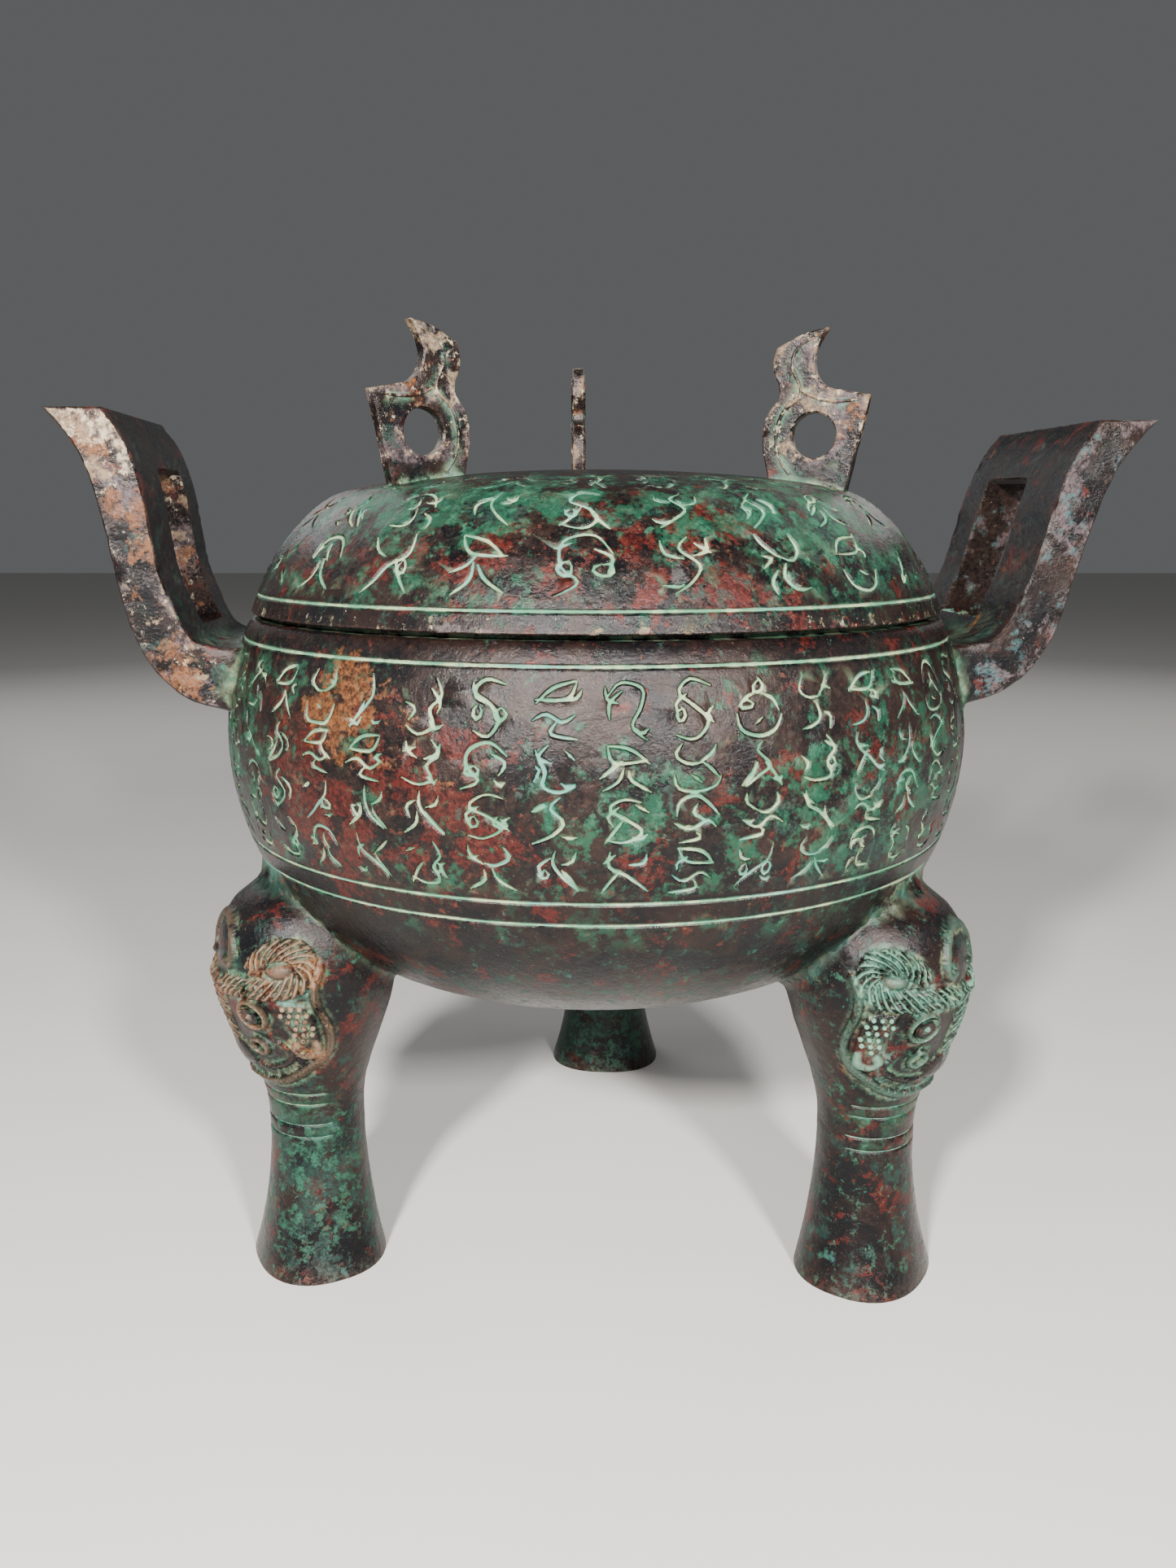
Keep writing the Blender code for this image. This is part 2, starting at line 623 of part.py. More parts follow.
def knob_outline():
    """Outline of a knob's plate round its ring's centre, X outwards and Y up."""
    shares = [(-0.248, 0.267, False), (-0.293, 0.467, False), (-0.268, 0.574, True),
              (-0.120, 0.648, False), (0.074, 0.693, True), (-0.002, 0.548, False),
              (-0.010, 0.471, False), (0.059, 0.334, False), (0.213, 0.285, False),
              (0.373, 0.254, True)]
    points = [(x * KNOB_HEIGHT, y * KNOB_HEIGHT, corner) for x, y, corner in shares]
    dome = lid_curve(ARC_PARTS)
    centre = height_on(dome, KNOB_RADIUS) + KNOB_RING_RISE
    for x in (0.230, -0.300):
        reach = x * KNOB_HEIGHT
        points.append((reach, height_on(dome, KNOB_RADIUS + reach) - KNOB_ROOT - centre, True))
    points += [(-0.356 * KNOB_HEIGHT, -0.014 * KNOB_HEIGHT, False),
               (-0.328 * KNOB_HEIGHT, 0.133 * KNOB_HEIGHT, False)]
    return points


def make_knob(index, collection):
    """One knob's plate, upright and radial."""
    hole = [(KNOB_HOLE_RADIUS * math.cos(turn), KNOB_HOLE_RADIUS * math.sin(turn), False)
            for turn in (math.pi, math.pi / 2, 0.0, -math.pi / 2)]
    plate = flat_outline(f"knob_guide_{index + 1}", [knob_outline(), hole], KNOB_THICKNESS, collection)
    turn = KNOB_TURNS[index]
    centre = height_on(lid_curve(ARC_PARTS), KNOB_RADIUS) + KNOB_RING_RISE
    plate.rotation_euler = (math.pi / 2, 0.0, turn + KNOB_TWISTS[index])
    plate.location = (KNOB_RADIUS * math.cos(turn) + KNOB_RING_OFFSET, KNOB_RADIUS * math.sin(turn), centre)
    return as_guide(to_mesh(plate, collection))


def make_lid(parts, cutters):
    """The domed lid with its three knobs, hollow below."""
    knobs = bpy.data.collections.new("Lid knobs")
    hollows = bpy.data.collections.new("Lid hollows")
    cutters.children.link(knobs)
    cutters.children.link(hollows)
    lid = turned("lid", lid_profile() + [(0.0, LID_EDGE_HEIGHT)], parts)
    for index in range(len(KNOB_TURNS)):
        make_knob(index, knobs)
    as_guide(turned("lid_cutter", lid_hollow_profile(), hollows, HOLLOW_STEPS))
    combine(lid, "Join knobs", "UNION", knobs)
    combine(lid, "Hollow out", "DIFFERENCE", hollows)
    return lid


def main():
    """Build the ding: the vessel, and the lid where it rests."""
    clear_scene()
    parts = make_collection(COLLECTION_NAME)
    cutters = make_collection(CUTTER_COLLECTION_NAME)
    vessel = make_vessel(parts, cutters)
    vessel.data.materials.append(make_bronze("dark_patinated_bronze", (0.055, 0.042, 0.036), 0.42, 0.6))
    lid = make_lid(parts, cutters)
    lid.data.materials.append(make_bronze("green_patinated_bronze", (0.050, 0.085, 0.055), 0.50, 0.5))
    for item in (vessel, lid):
        item.data.shade_smooth()
    axis = add_object("bowl_axis", None, parts)
    axis.location = (-(ear_end(0) + ear_end(1)) / 2, AXIS_Y, 0.0)
    for item in list(parts.objects) + list(cutters.all_objects):
        if item is not axis:
            item.parent = axis


main()
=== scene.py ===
"""Lidded bronze ding, dressed: incised strokes, masked legs, slotted ears and layered patina."""

import json
import math
import random

import bmesh
import bpy
import numpy as np
from bpy.props import FloatProperty, FloatVectorProperty, IntProperty, PointerProperty
from mathutils import Matrix, Vector, noise
from mathutils.geometry import delaunay_2d_cdt, interpolate_bezier


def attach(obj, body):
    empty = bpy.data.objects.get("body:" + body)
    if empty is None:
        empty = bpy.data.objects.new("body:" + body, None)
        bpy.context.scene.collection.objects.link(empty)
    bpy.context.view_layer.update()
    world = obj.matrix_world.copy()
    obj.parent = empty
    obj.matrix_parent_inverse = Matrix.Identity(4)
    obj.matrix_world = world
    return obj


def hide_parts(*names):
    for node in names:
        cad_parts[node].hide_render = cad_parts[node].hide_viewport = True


bl_info = {
    "name": "Lidded bronze ding",
    "version": (1, 0, 0),
    "blender": (4, 5, 0),
    "location": "3D View > Sidebar > Ding",
    "description": "Builds the dressed vessel and lid of a bronze ding around its packed frame",
    "category": "Object",
}

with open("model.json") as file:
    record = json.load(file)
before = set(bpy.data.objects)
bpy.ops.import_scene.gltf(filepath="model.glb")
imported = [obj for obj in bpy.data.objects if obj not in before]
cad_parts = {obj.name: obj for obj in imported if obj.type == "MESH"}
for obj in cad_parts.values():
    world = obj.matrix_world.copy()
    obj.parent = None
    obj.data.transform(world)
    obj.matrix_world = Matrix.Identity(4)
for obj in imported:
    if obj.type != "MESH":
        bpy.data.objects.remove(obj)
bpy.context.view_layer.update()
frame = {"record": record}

SOLES = [Vector(mount["pos_m"]) for mount in frame["record"]["mounts"]]
AXIS = sum(SOLES, Vector()) / len(SOLES)

BOTTOM_HEIGHT = 0.0906
BOWL_DEPTH = 0.1335
BELLY_RADIUS = 0.1313
BELLY_BELOW_SHOULDER = 0.0421
SHOULDER_INSET = 0.0097
BOTTOM_EDGE_BELOW_BELLY = 0.0390
BOTTOM_HAUNCH = 0.044
BOTTOM_FLAT = 0.065
BOWL_WALL = 0.0045
LIP_INSET = 0.0051
LIP_HEIGHT = 0.0066
LIP_WALL = 0.0032
SHOULDER_HEIGHT = BOTTOM_HEIGHT + BOWL_DEPTH
SHOULDER_RADIUS = BELLY_RADIUS - SHOULDER_INSET
BELLY_HEIGHT = SHOULDER_HEIGHT - BELLY_BELOW_SHOULDER
EDGE_HEIGHT = BELLY_HEIGHT - BOTTOM_EDGE_BELOW_BELLY
LIP_RADIUS = SHOULDER_RADIUS - LIP_INSET
LIP_TOP_HEIGHT = SHOULDER_HEIGHT + LIP_HEIGHT
MOUTH_RADIUS = LIP_RADIUS - LIP_WALL
LIP_SOFTNESS = 0.0005
GROOVE_HALF_WIDTH = 0.00085
GROOVE_DEPTH = 0.00075
GROOVE_MARGIN = 0.0004
BELLY_GROOVES = (SHOULDER_HEIGHT - 0.0065, EDGE_HEIGHT + 0.0090, EDGE_HEIGHT + 0.0019)

LID_SIDE_GAP = 0.0002
LID_EDGE_GAP = 0.0016
LID_RADIUS = SHOULDER_RADIUS - LID_SIDE_GAP
LID_EDGE_HEIGHT = SHOULDER_HEIGHT + LID_EDGE_GAP
LID_RISE = 0.0477
LID_BEND_INSET = 0.0287
LID_BEND_RISE = 0.0384
LID_SIDE_HANDLES = ((0.217, 0.520), (0.680, 0.876))
LID_TOP_HANDLES = ((0.927, 0.45), (0.49, 1.0))
LID_WALL = 0.0040
LID_GROOVE_ABOVE_EDGE = 0.0062
LIP_CLEARANCE = 0.0008
LEDGE_GAP = 0.0003
LEDGE_HEIGHT = LIP_TOP_HEIGHT + LEDGE_GAP

KNOB_TURNS = (97.8, 217.8, 337.8)
KNOB_TWISTS = (-7.0, 0.0, 0.0)
KNOB_RING_OFFSET = 0.0032
KNOB_RADIUS = 0.0748
KNOB_HEIGHT = 0.0488
KNOB_RING_RISE = 0.0150
KNOB_HOLE_RADIUS = 0.0073
KNOB_THICKNESS = 0.0048
KNOB_ROOT = 0.0020
KNOB_EDGE = 0.0005
RIB_RADIUS = 0.00075
RIB_SINK = 0.0001
RIB_PATHS = (
    ((0.030, 0.650), (-0.120, 0.575), (-0.160, 0.460), (-0.110, 0.340), (-0.100, 0.262),
     (-0.215, 0.150), (-0.255, 0.000), (-0.235, -0.140), (-0.160, -0.260)),
    ((-0.105, 0.290), (0.040, 0.235), (0.170, 0.215), (0.310, 0.225)),
)

EAR_WIDTH = 0.0763
EAR_TURNS = (0.0, 185.0)
EAR_TWISTS = (7.0, 0.0)
EAR_RISES = (0.0642, 0.0667)
EAR_REACHES = (0.0494, 0.0457)
EAR_BOWS = (-0.0026, 0.0026)
EAR_ROOT_DEPTH = 0.0190
SLOT_WIDTH = 0.0320
SLOT_OFFSET = 0.0050
SLOT_FOOT_BELOW_SHOULDER = 0.0031
SLOT_TOP_BELOW_EAR_TOP = 0.0172
SLOT_SOFTNESS = 0.0016
EAR_EDGE = 0.0007

LEG_TURN = math.radians(-2.7)
LEG_RADIUS = BELLY_RADIUS - 0.0206
LEG_TOP_HEIGHT = EDGE_HEIGHT - 0.0005
FOOT_SPLAY = 0.0012
SOLE_DEPTH = 0.0445
SOLE_WIDTH = 0.0505
ANKLE_HEIGHT = 0.0455
ANKLE_DEPTH = 0.0326
ANKLE_WIDTH = 0.0338
CALF_HEIGHT = 0.0546
KNEE_HEIGHT = 0.1118
KNEE_DEPTH = 0.0605
KNEE_WIDTH = 0.0610
SOLE_SQUARENESS = 0.35
FLARE_POWER = 1.6
KNEE_DOME_POWER = 2.3
KNEE_TOP_SHARE = 0.2
SHIN_LINE_HEIGHTS = (0.0666, 0.0624, 0.0546, 0.0500)
SHIN_LINE_REACH = 0.031
SHIN_LINE_HALF_WIDTH = 0.0007
SHIN_LINE_DEPTH = 0.0006

MASK_SIZE = 0.0585
MASK_BASE_HEIGHT = 0.0715
CONTOUR_PATH = [(0.0, 0.01), (0.14, 0.01), (0.27, 0.02), (0.39, 0.07), (0.47, 0.12), (0.58, 0.19),
                (0.67, 0.29), (0.71, 0.41), (0.70, 0.56), (0.71, 0.66), (0.74, 0.75)]
LIP_PATH = [(0.0, 0.115), (0.12, 0.125), (0.24, 0.115), (0.36, 0.155), (0.43, 0.215), (0.40, 0.30)]
BROW_PATH = [(0.13, 0.61), (0.24, 0.63), (0.42, 0.635), (0.55, 0.65), (0.65, 0.71), (0.66, 0.79),
             (0.60, 0.85), (0.51, 0.865), (0.42, 0.83), (0.37, 0.76)]
CREST_PATH = [(0.0, 0.99), (0.09, 0.97), (0.165, 0.89), (0.195, 0.79), (0.175, 0.735), (0.12, 0.75)]
NOSE_PATH = [(0.0, 0.60), (0.0, 0.48), (0.0, 0.36), (0.0, 0.26)]
CHEEK_OUTLINE = [(0.47, 0.555), (0.57, 0.57), (0.655, 0.55), (0.665, 0.44), (0.64, 0.31),
                 (0.57, 0.225), (0.49, 0.20), (0.46, 0.25), (0.50, 0.33), (0.49, 0.45)]
CURL_PATH = [(0.60, 0.30), (0.57, 0.235), (0.50, 0.215), (0.47, 0.25), (0.50, 0.29)]
CONTOUR_HALF_WIDTH = 0.030
LIP_HALF_WIDTH = 0.018
BROW_HALF_WIDTH = 0.060
ROPE_PITCH = 0.048
ROPE_LEAN = -1.05
NOSE_PITCH = 0.044
NOSE_LEAN = -1.2
STRAND_EDGE = 0.18
CREST_HALF_WIDTH = 0.028
NOSE_HALF_WIDTH = 0.070
CURL_HALF_WIDTH = 0.028
BOSS_CENTRE = (0.522, 0.752)
BOSS_SIZE = (0.080, 0.050)
EYE_CENTRE = (0.322, 0.475)
EYE_RADIUS = 0.095
NOSTRIL_CENTRE = (0.262, 0.262)
NOSTRIL_RADIUS = 0.062
EYE_RING = 0.82
EYEBALL = 0.60
PUPIL = 0.26
NOSTRIL_RING = 0.72
SNOUT_CENTRE = (0.0, 0.17)
SNOUT_SIZE = (0.17, 0.10)
CHEEK_EDGE = 0.02
MASK_SIDE = 0.80
MASK_FOOT = -0.04
MASK_TOP = 1.02
BEAD_FOOT = (0.502, 0.245)
BEAD_PITCH = (0.043, 0.042)
BEAD_SHIFT = 0.021
BEAD_LIFT = 0.0001

BELLY_ROWS = ((0.1986, 0.2144), (0.1846, 0.1976), (0.1700, 0.1836), (0.1553, 0.1690))
LID_ROW_RADII = ((0.1174, 0.1066), (0.1054, 0.0930), (0.0905, 0.0700))
STRIP_GAP = 0.0006
BELLY_PHASE = math.radians(-86.6)
LID_PHASE = math.radians(-92.0)
BELLY_SIGN_WIDTH = 0.74
LID_SIGN_WIDTH = 0.62
LID_SCALE = 0.100
LID_BAND_INNER_RADIUS = 0.062
STROKE_POWER = 0.8
ROW_PITCH = 0.87
NET_ACCURACY = 1e-7
SPINE_MARKS = (
    ((0.08, 1.00), (-0.12, 0.76), (0.14, 0.50), (-0.06, 0.22), (-0.36, 0.02)),
    ((-0.36, 0.98), (-0.30, 0.62), (-0.02, 0.42), (0.24, 0.18), (0.44, 0.00)),
    ((0.02, 1.00), (0.06, 0.66), (-0.12, 0.34), (-0.43, 0.08)),
    ((0.34, 0.92), (-0.06, 1.00), (-0.32, 0.76), (0.02, 0.54), (0.28, 0.30), (-0.02, 0.03), (-0.38, 0.12)),
    ((-0.42, 0.72), (-0.10, 0.98), (0.30, 0.84), (0.34, 0.50), (0.08, 0.22), (0.42, 0.00)),
    ((-0.20, 1.00), (-0.40, 0.70), (-0.16, 0.44), (-0.26, 0.14), (0.10, 0.00), (0.42, 0.14)),
)
SIDE_MARKS = (
    ((0.10, 0.54), (0.22, 0.32), (0.44, 0.04)),
    ((0.42, 0.92), (0.34, 0.70), (0.10, 0.62)),
    ((0.18, 0.84), (0.43, 0.72)),
    ((0.24, 0.52), (0.14, 0.41), (0.22, 0.29), (0.36, 0.36), (0.34, 0.49), (0.23, 0.52)),
    ((0.12, 0.78), (0.36, 0.60), (0.30, 0.36)),
    ((0.44, 0.56), (0.26, 0.44), (0.42, 0.24)),
    ((0.16, 0.20), (0.30, 0.10), (0.44, 0.20)),
)
CAP_MARKS = (
    (((0.00, 0.98), (-0.13, 0.88), (-0.06, 0.74), (0.09, 0.75), (0.13, 0.89), (0.01, 0.98)),
     ((-0.07, 0.74), (-0.28, 0.62), (-0.43, 0.42)), ((0.09, 0.74), (0.28, 0.66), (0.44, 0.48))),
    (((-0.43, 0.56), (-0.30, 0.84), (0.00, 0.97), (0.30, 0.86), (0.43, 0.56)),
     ((-0.06, 0.82), (0.02, 0.62), (-0.14, 0.48))),
    (((-0.30, 1.00), (-0.38, 0.76), (-0.16, 0.56), (0.10, 0.60)),
     ((0.36, 0.98), (0.30, 0.78), (0.10, 0.62))),
    (((-0.42, 0.64), (-0.12, 0.90), (0.32, 0.98)), ((0.32, 0.98), (0.18, 0.66), (-0.42, 0.64))),
)
FOOT_MARKS = (
    (((-0.04, 0.50), (-0.10, 0.26), (-0.44, 0.02)), ((0.08, 0.50), (0.14, 0.24), (0.44, 0.00))),
    (((-0.43, 0.38), (-0.34, 0.10), (0.00, 0.00), (0.34, 0.08), (0.44, 0.36)),
     ((-0.10, 0.34), (0.12, 0.22))),
    (((0.02, 0.52), (0.06, 0.26), (-0.10, 0.06), (-0.42, 0.06)), ((0.20, 0.36), (0.36, 0.22), (0.34, 0.00))),
    (((-0.42, 0.30), (-0.18, 0.44), (0.12, 0.28), (0.40, 0.40)),
     ((0.00, 0.28), (-0.08, 0.10), (0.40, 0.02))),
)

# Each patch: weight, azimuth from the front in degrees, height, spread in degrees, rise.
VESSEL_GREENS = (
    (0.60, 40, 0.180, 22, 0.030), (0.45, 2, 0.178, 8, 0.012), (0.50, -66, 0.180, 16, 0.040),
    (0.30, 120, 0.180, 40, 0.050), (0.30, -150, 0.160, 40, 0.050), (-0.30, -30, 0.185, 18, 0.040),
    (0.35, 10, 0.118, 60, 0.022), (-0.40, 8, 0.207, 18, 0.015),
)
VESSEL_REDS = ((0.60, -20, 0.175, 14, 0.030), (0.55, -42, 0.185, 12, 0.040), (0.20, 20, 0.180, 14, 0.030),
               (-0.45, 4, 0.205, 16, 0.016))
VESSEL_OCHRES = ((1.35, -34, 0.203, 12, 0.018), (0.60, -18, 0.190, 8, 0.010), (0.35, 20, 0.125, 30, 0.020))
VESSEL_AZURES = ((0.50, -4, 0.190, 7, 0.030), (0.35, 0, 0.118, 60, 0.022))
VESSEL_BLACKS = ((1.20, -36, 0.133, 7, 0.009),)
FOOT_GREENS = ((0.80, -56, 0.032, 7, 0.020),)
LID_GREENS = ((0.60, -34, 0.262, 22, 0.010), (0.75, 36, 0.256, 20, 0.016), (0.45, -8, 0.262, 12, 0.006),
              (0.30, 150, 0.250, 60, 0.020), (-0.25, 6, 0.243, 20, 0.010))
LID_REDS = ((0.60, 14, 0.246, 12, 0.014), (0.60, -14, 0.244, 12, 0.014), (0.30, -60, 0.250, 14, 0.020))
# Each layer: attribute, colour, noise scale, mask's low and high, attribute's weight, roughness, strength.
PATINA_LAYERS = (
    ("ash", "ash", 60.0, 0.640, 0.710, 0.220, 0.48, 0.85),
    ("red", "oxide", 72.0, 0.640, 0.680, 0.150, 0.38, 1.00),
    ("red", "rust", 260.0, 0.670, 0.720, 0.100, 0.45, 0.85),
    ("ochre", "ochre", 80.0, 0.700, 0.760, 0.220, 0.52, 0.85),
    ("green", "verdigris", 90.0, 0.660, 0.715, 0.150, 0.46, 0.95),
    ("green", "malachite", 240.0, 0.685, 0.740, 0.140, 0.60, 0.90),
    ("azure", "azurite", 120.0, 0.670, 0.740, 0.190, 0.55, 0.80),
    ("crust", "crust", 120.0, 0.700, 0.760, 0.210, 0.75, 0.95),
    ("crust", "lime", 340.0, 0.710, 0.770, 0.190, 0.85, 0.90),
)
WARM_WHITE = (1.0, 0.97, 0.93)
# Each light: name, the setting of its power, its part of that, size, place, colour.
STUDIO_LIGHTS = (
    ("key_left", "key_power", 1.0, 0.09, (-0.28, -0.85, 0.62), WARM_WHITE),
    ("key_right", "key_power", 0.7, 0.09, (0.34, -0.85, 0.55), WARM_WHITE),
    ("fill_left", "fill_power", 1.0, 0.8, (-1.3, -0.2, 0.6), (0.95, 0.97, 1.0)),
    ("fill_right", "fill_power", 1.0, 0.8, (1.3, -0.3, 0.6), (1.0, 0.97, 0.94)),
    ("back_left", "fill_power", 2.0, 0.9, (-0.9, 1.1, 1.0), (0.96, 0.98, 1.0)),
    ("back_right", "fill_power", 1.8, 0.9, (0.9, 1.2, 1.0), (1.0, 0.98, 0.95)),
)
SKY_COLOUR = (0.86, 0.88, 0.90, 1.0)
CAMERA_PLACE = (AXIS.x - 0.0018, AXIS.y - 0.4489, 0.2552)
CAMERA_TURN = (math.radians(90 - 12.07), 0.0, math.radians(0.13))
AIM_HEIGHT = 0.17


def length_setting(name, description, value):
    """A length for the sidebar."""
    return FloatProperty(name=name, description=description, default=value, unit="LENGTH", precision=5)


def colour_setting(name, description, value):
    """A colour for the sidebar."""
    return FloatVectorProperty(name=name, description=description, default=value, subtype="COLOR", size=3)


class DingStrokeSizes(bpy.types.PropertyGroup):
    """Sizes of the incised strokes and of the mesh that carries them."""

    belly_columns: IntProperty(name="Belly columns", description="Signs round the belly", default=43, min=8)
    lid_columns: IntProperty(name="Lid columns", description="Signs round the lid", default=24, min=8)
    half_width: length_setting("Half width", "Half the width of a stroke", 0.00096)
    depth: length_setting("Depth", "Depth of a stroke in its middle", 0.0010)
    point_step: length_setting("Point step", "Distance between points along a stroke", 0.0015)
    ground_step: length_setting("Ground step", "Distance between points beside the strokes", 0.0036)
    ring_columns: IntProperty(name="Ring columns", description="Facets of the turned surfaces",
                              default=216, min=24)


class DingReliefSizes(bpy.types.PropertyGroup):
    """Heights of the masks' carving, and the steps of the legs' mesh."""

    face: length_setting("Face", "Rise of the face's ground", 0.0010)
    contour: length_setting("Contour", "Rise of the face's rim", 0.0016)
    brow: length_setting("Brow", "Rise of the rope brow", 0.0022)
    boss: length_setting("Boss", "Rise of the horn's boss", 0.0028)
    eye: length_setting("Eye", "Rise of the eye's ring", 0.0026)
    cheek: length_setting("Cheek", "Rise of the cheek's panel", 0.0011)
    nose: length_setting("Nose", "Rise of the nose", 0.0018)
    snout: length_setting("Snout", "Rise of the snout", 0.0024)
    crest: length_setting("Crest", "Rise of the forehead's arch", 0.0016)
    bead_radius: length_setting("Bead radius", "Radius of a bead on the cheek", 0.00112)
    mask_step: length_setting("Mask step", "Distance between points on the mask", 0.00100)
    leg_step: length_setting("Leg step", "Distance between points on the plain leg", 0.0034)


class DingPatinaColours(bpy.types.PropertyGroup):
    """Colours of the bronze and of the patina's layers."""

    bronze: colour_setting("Bronze", "Dark polished bronze", (0.012, 0.006, 0.005))
    soot: colour_setting("Soot", "Black patina", (0.003, 0.003, 0.004))
    oxide: colour_setting("Red oxide", "Red patches", (0.060, 0.006, 0.004))
    rust: colour_setting("Rust", "Small rust-brown specks", (0.085, 0.020, 0.009))
    ochre: colour_setting("Ochre", "Orange earth", (0.150, 0.050, 0.011))
    malachite: colour_setting("Malachite", "Bright green specks", (0.009, 0.070, 0.038))
    verdigris: colour_setting("Verdigris", "Dark blue-green patches", (0.004, 0.026, 0.020))
    azurite: colour_setting("Azurite", "Blue-green patches", (0.013, 0.066, 0.070))
    ash: colour_setting("Ash", "Grey-violet film", (0.082, 0.060, 0.066))
    crust: colour_setting("Crust", "Beige lime crust", (0.225, 0.155, 0.092))
    lime: colour_setting("Lime", "Pale specks of lime", (0.470, 0.390, 0.280))
    worn: colour_setting("Worn metal", "Rubbed edges", (0.090, 0.055, 0.042))
    deposit: colour_setting("Deposit", "Green mineral in the strokes", (0.085, 0.230, 0.135))
    deposit_pale: colour_setting("Pale deposit", "Cream mineral in the strokes", (0.300, 0.370, 0.220))
    deposit_cool: colour_setting("Cool deposit", "Blue-green mineral in the strokes", (0.085, 0.270, 0.240))
    # The two crest colours are partly pale patina and partly painted highlight on the masks' raised crests
    # and beads.
    crest_mint_and_highlight: colour_setting("Cool crests", "Mint film on the right masks' crests", (0.120, 0.270, 0.190))
    crest_beige_and_highlight: colour_setting("Warm crests", "Beige film on the left mask's crests", (0.200, 0.140, 0.085))


class DingStageSettings(bpy.types.PropertyGroup):
    """The floor, the lights and the camera."""

    floor_colour: colour_setting("Floor", "Colour of the floor", (0.600, 0.585, 0.560))
    floor_size: length_setting("Floor size", "Half width of the floor", 6.0)
    key_power: FloatProperty(name="Key light", description="Power of the front light", default=27.0,
                             unit="POWER")
    fill_power: FloatProperty(name="Fill light", description="Power of the side lights", default=2.6,
                              unit="POWER")
    sky: FloatProperty(name="Sky light", description="Strength of the even light all round", default=0.13)
    lens: FloatProperty(name="Lens", description="Focal length on a 36 mm long side", default=28.02,
                        unit="CAMERA")


def belly_radius(height):
    """Radius of the belly's barrel at a height."""
    return BELLY_RADIUS - SHOULDER_INSET / BELLY_BELOW_SHOULDER ** 2 * (height - BELLY_HEIGHT) ** 2


def bezier(points, parts):
    """Points along one cubic curve in the profile's plane."""
    knots = [Vector((x, 0.0, z)) for x, z in points]
    return [(point.x, point.z) for point in interpolate_bezier(*knots, parts + 1)]


def bottom_profile(parts):
    """Outer profile of the rounded bottom, from the belly's edge down to the axis."""
    slope = 2 * SHOULDER_INSET / BELLY_BELOW_SHOULDER ** 2 * BOTTOM_EDGE_BELOW_BELLY
    length = math.hypot(slope, 1.0)
    start = (belly_radius(EDGE_HEIGHT), EDGE_HEIGHT)
    haunch = (start[0] - BOTTOM_HAUNCH * slope / length, start[1] - BOTTOM_HAUNCH / length)
    return bezier([start, haunch, (BOTTOM_FLAT, BOTTOM_HEIGHT), (0.0, BOTTOM_HEIGHT)], parts)


def lid_curve(parts):
    """Outer profile of the dome, from the axis down to the lid's lower edge."""
    crown = LID_EDGE_HEIGHT + LID_RISE
    bend = (LID_RADIUS - LID_BEND_INSET, LID_EDGE_HEIGHT + LID_BEND_RISE)
    side = [(LID_RADIUS - across * LID_BEND_INSET, LID_EDGE_HEIGHT + up * LID_BEND_RISE)
            for across, up in LID_SIDE_HANDLES]
    top = [(across * bend[0], bend[1] + up * (crown - bend[1])) for across, up in LID_TOP_HANDLES]
    lower = bezier([(LID_RADIUS, LID_EDGE_HEIGHT)] + side + [bend], parts)
    upper = bezier([bend] + top + [(0.0, crown)], parts)
    return (lower + upper[1:])[::-1]


def inset(points, thickness):
    """A profile moved in along its normals by a wall's thickness; it runs outer side down."""
    moved = []
    for index, (radius, height) in enumerate(points):
        before = points[max(index - 1, 0)]
        after = points[min(index + 1, len(points) - 1)]
        along = Vector((after[0] - before[0], after[1] - before[1])).normalized()
        moved.append((max(radius + along.y * thickness, 0.0), height - along.x * thickness))
    return moved


def rounded(points, steps):
    """A smooth line through control points."""
    line = []
    padded = [points[0]] + list(points) + [points[-1]]
    for a, b, c, d in zip(padded, padded[1:], padded[2:], padded[3:]):
        for step in range(steps):
            t = step / steps
            line.append(tuple(0.5 * (2 * q + (r - p) * t + (2 * p - 5 * q + 4 * r - s) * t * t
                                     + (3 * q - p - 3 * r + s) * t ** 3)
                              for p, q, r, s in zip(a, b, c, d)))
    return line + [tuple(points[-1])]


def run_along(line):
    """Distance from a line's start to each of its points."""
    return np.concatenate([[0.0], np.cumsum(np.hypot(*np.diff(line, axis=0).T))])


def spaced(points, step):
    """A line's points redistributed at an even distance."""
    line = np.array(points, float)
    run = run_along(line)
    at = np.linspace(0.0, run[-1], max(int(round(run[-1] / step)), 2) + 1)
    return np.column_stack([np.interp(at, run, line[:, axis]) for axis in (0, 1)])


def offset_line(line, distance):
    """A line beside another, at a distance (one number or one for each point) to its left."""
    line = np.asarray(line, float)
    along = np.gradient(line, axis=0)
    along /= np.maximum(np.hypot(along[:, 0], along[:, 1]), 1e-12)[:, None]
    return line + np.column_stack([-along[:, 1], along[:, 0]]) * np.reshape(distance, (-1, 1))


def add_object(name, data):
    """A new object in the scene."""
    item = bpy.data.objects.new(name, data)
    bpy.context.scene.collection.objects.link(item)
    return item


def mesh_object(name, vertices, faces):
    """A new mesh object in the scene."""
    mesh = bpy.data.meshes.new(name)
    mesh.from_pydata([tuple(point) for point in vertices], [], [tuple(face) for face in faces])
    return add_object(name, mesh)


def plain_mesh(item):
    """A mesh of an object's shape with its modifiers."""
    bpy.context.view_layer.update()
    graph = bpy.context.evaluated_depsgraph_get()
    return bpy.data.meshes.new_from_object(item.evaluated_get(graph))


def add_line(points, edges, line):
    """Add a line's points to a flat net, and the edges between them."""
    start = len(points)
    points += [tuple(point) for point in line]
    edges += [(index, index + 1) for index in range(start, len(points) - 1)]


def triangulated(points, edges, merge):
    """A flat net of triangles through points, with the edges kept."""
    flat, _, faces, _, _, _ = delaunay_2d_cdt([Vector(point) for point in points], edges, [], 0, merge)
    return np.array([(point.x, point.y) for point in flat]), faces


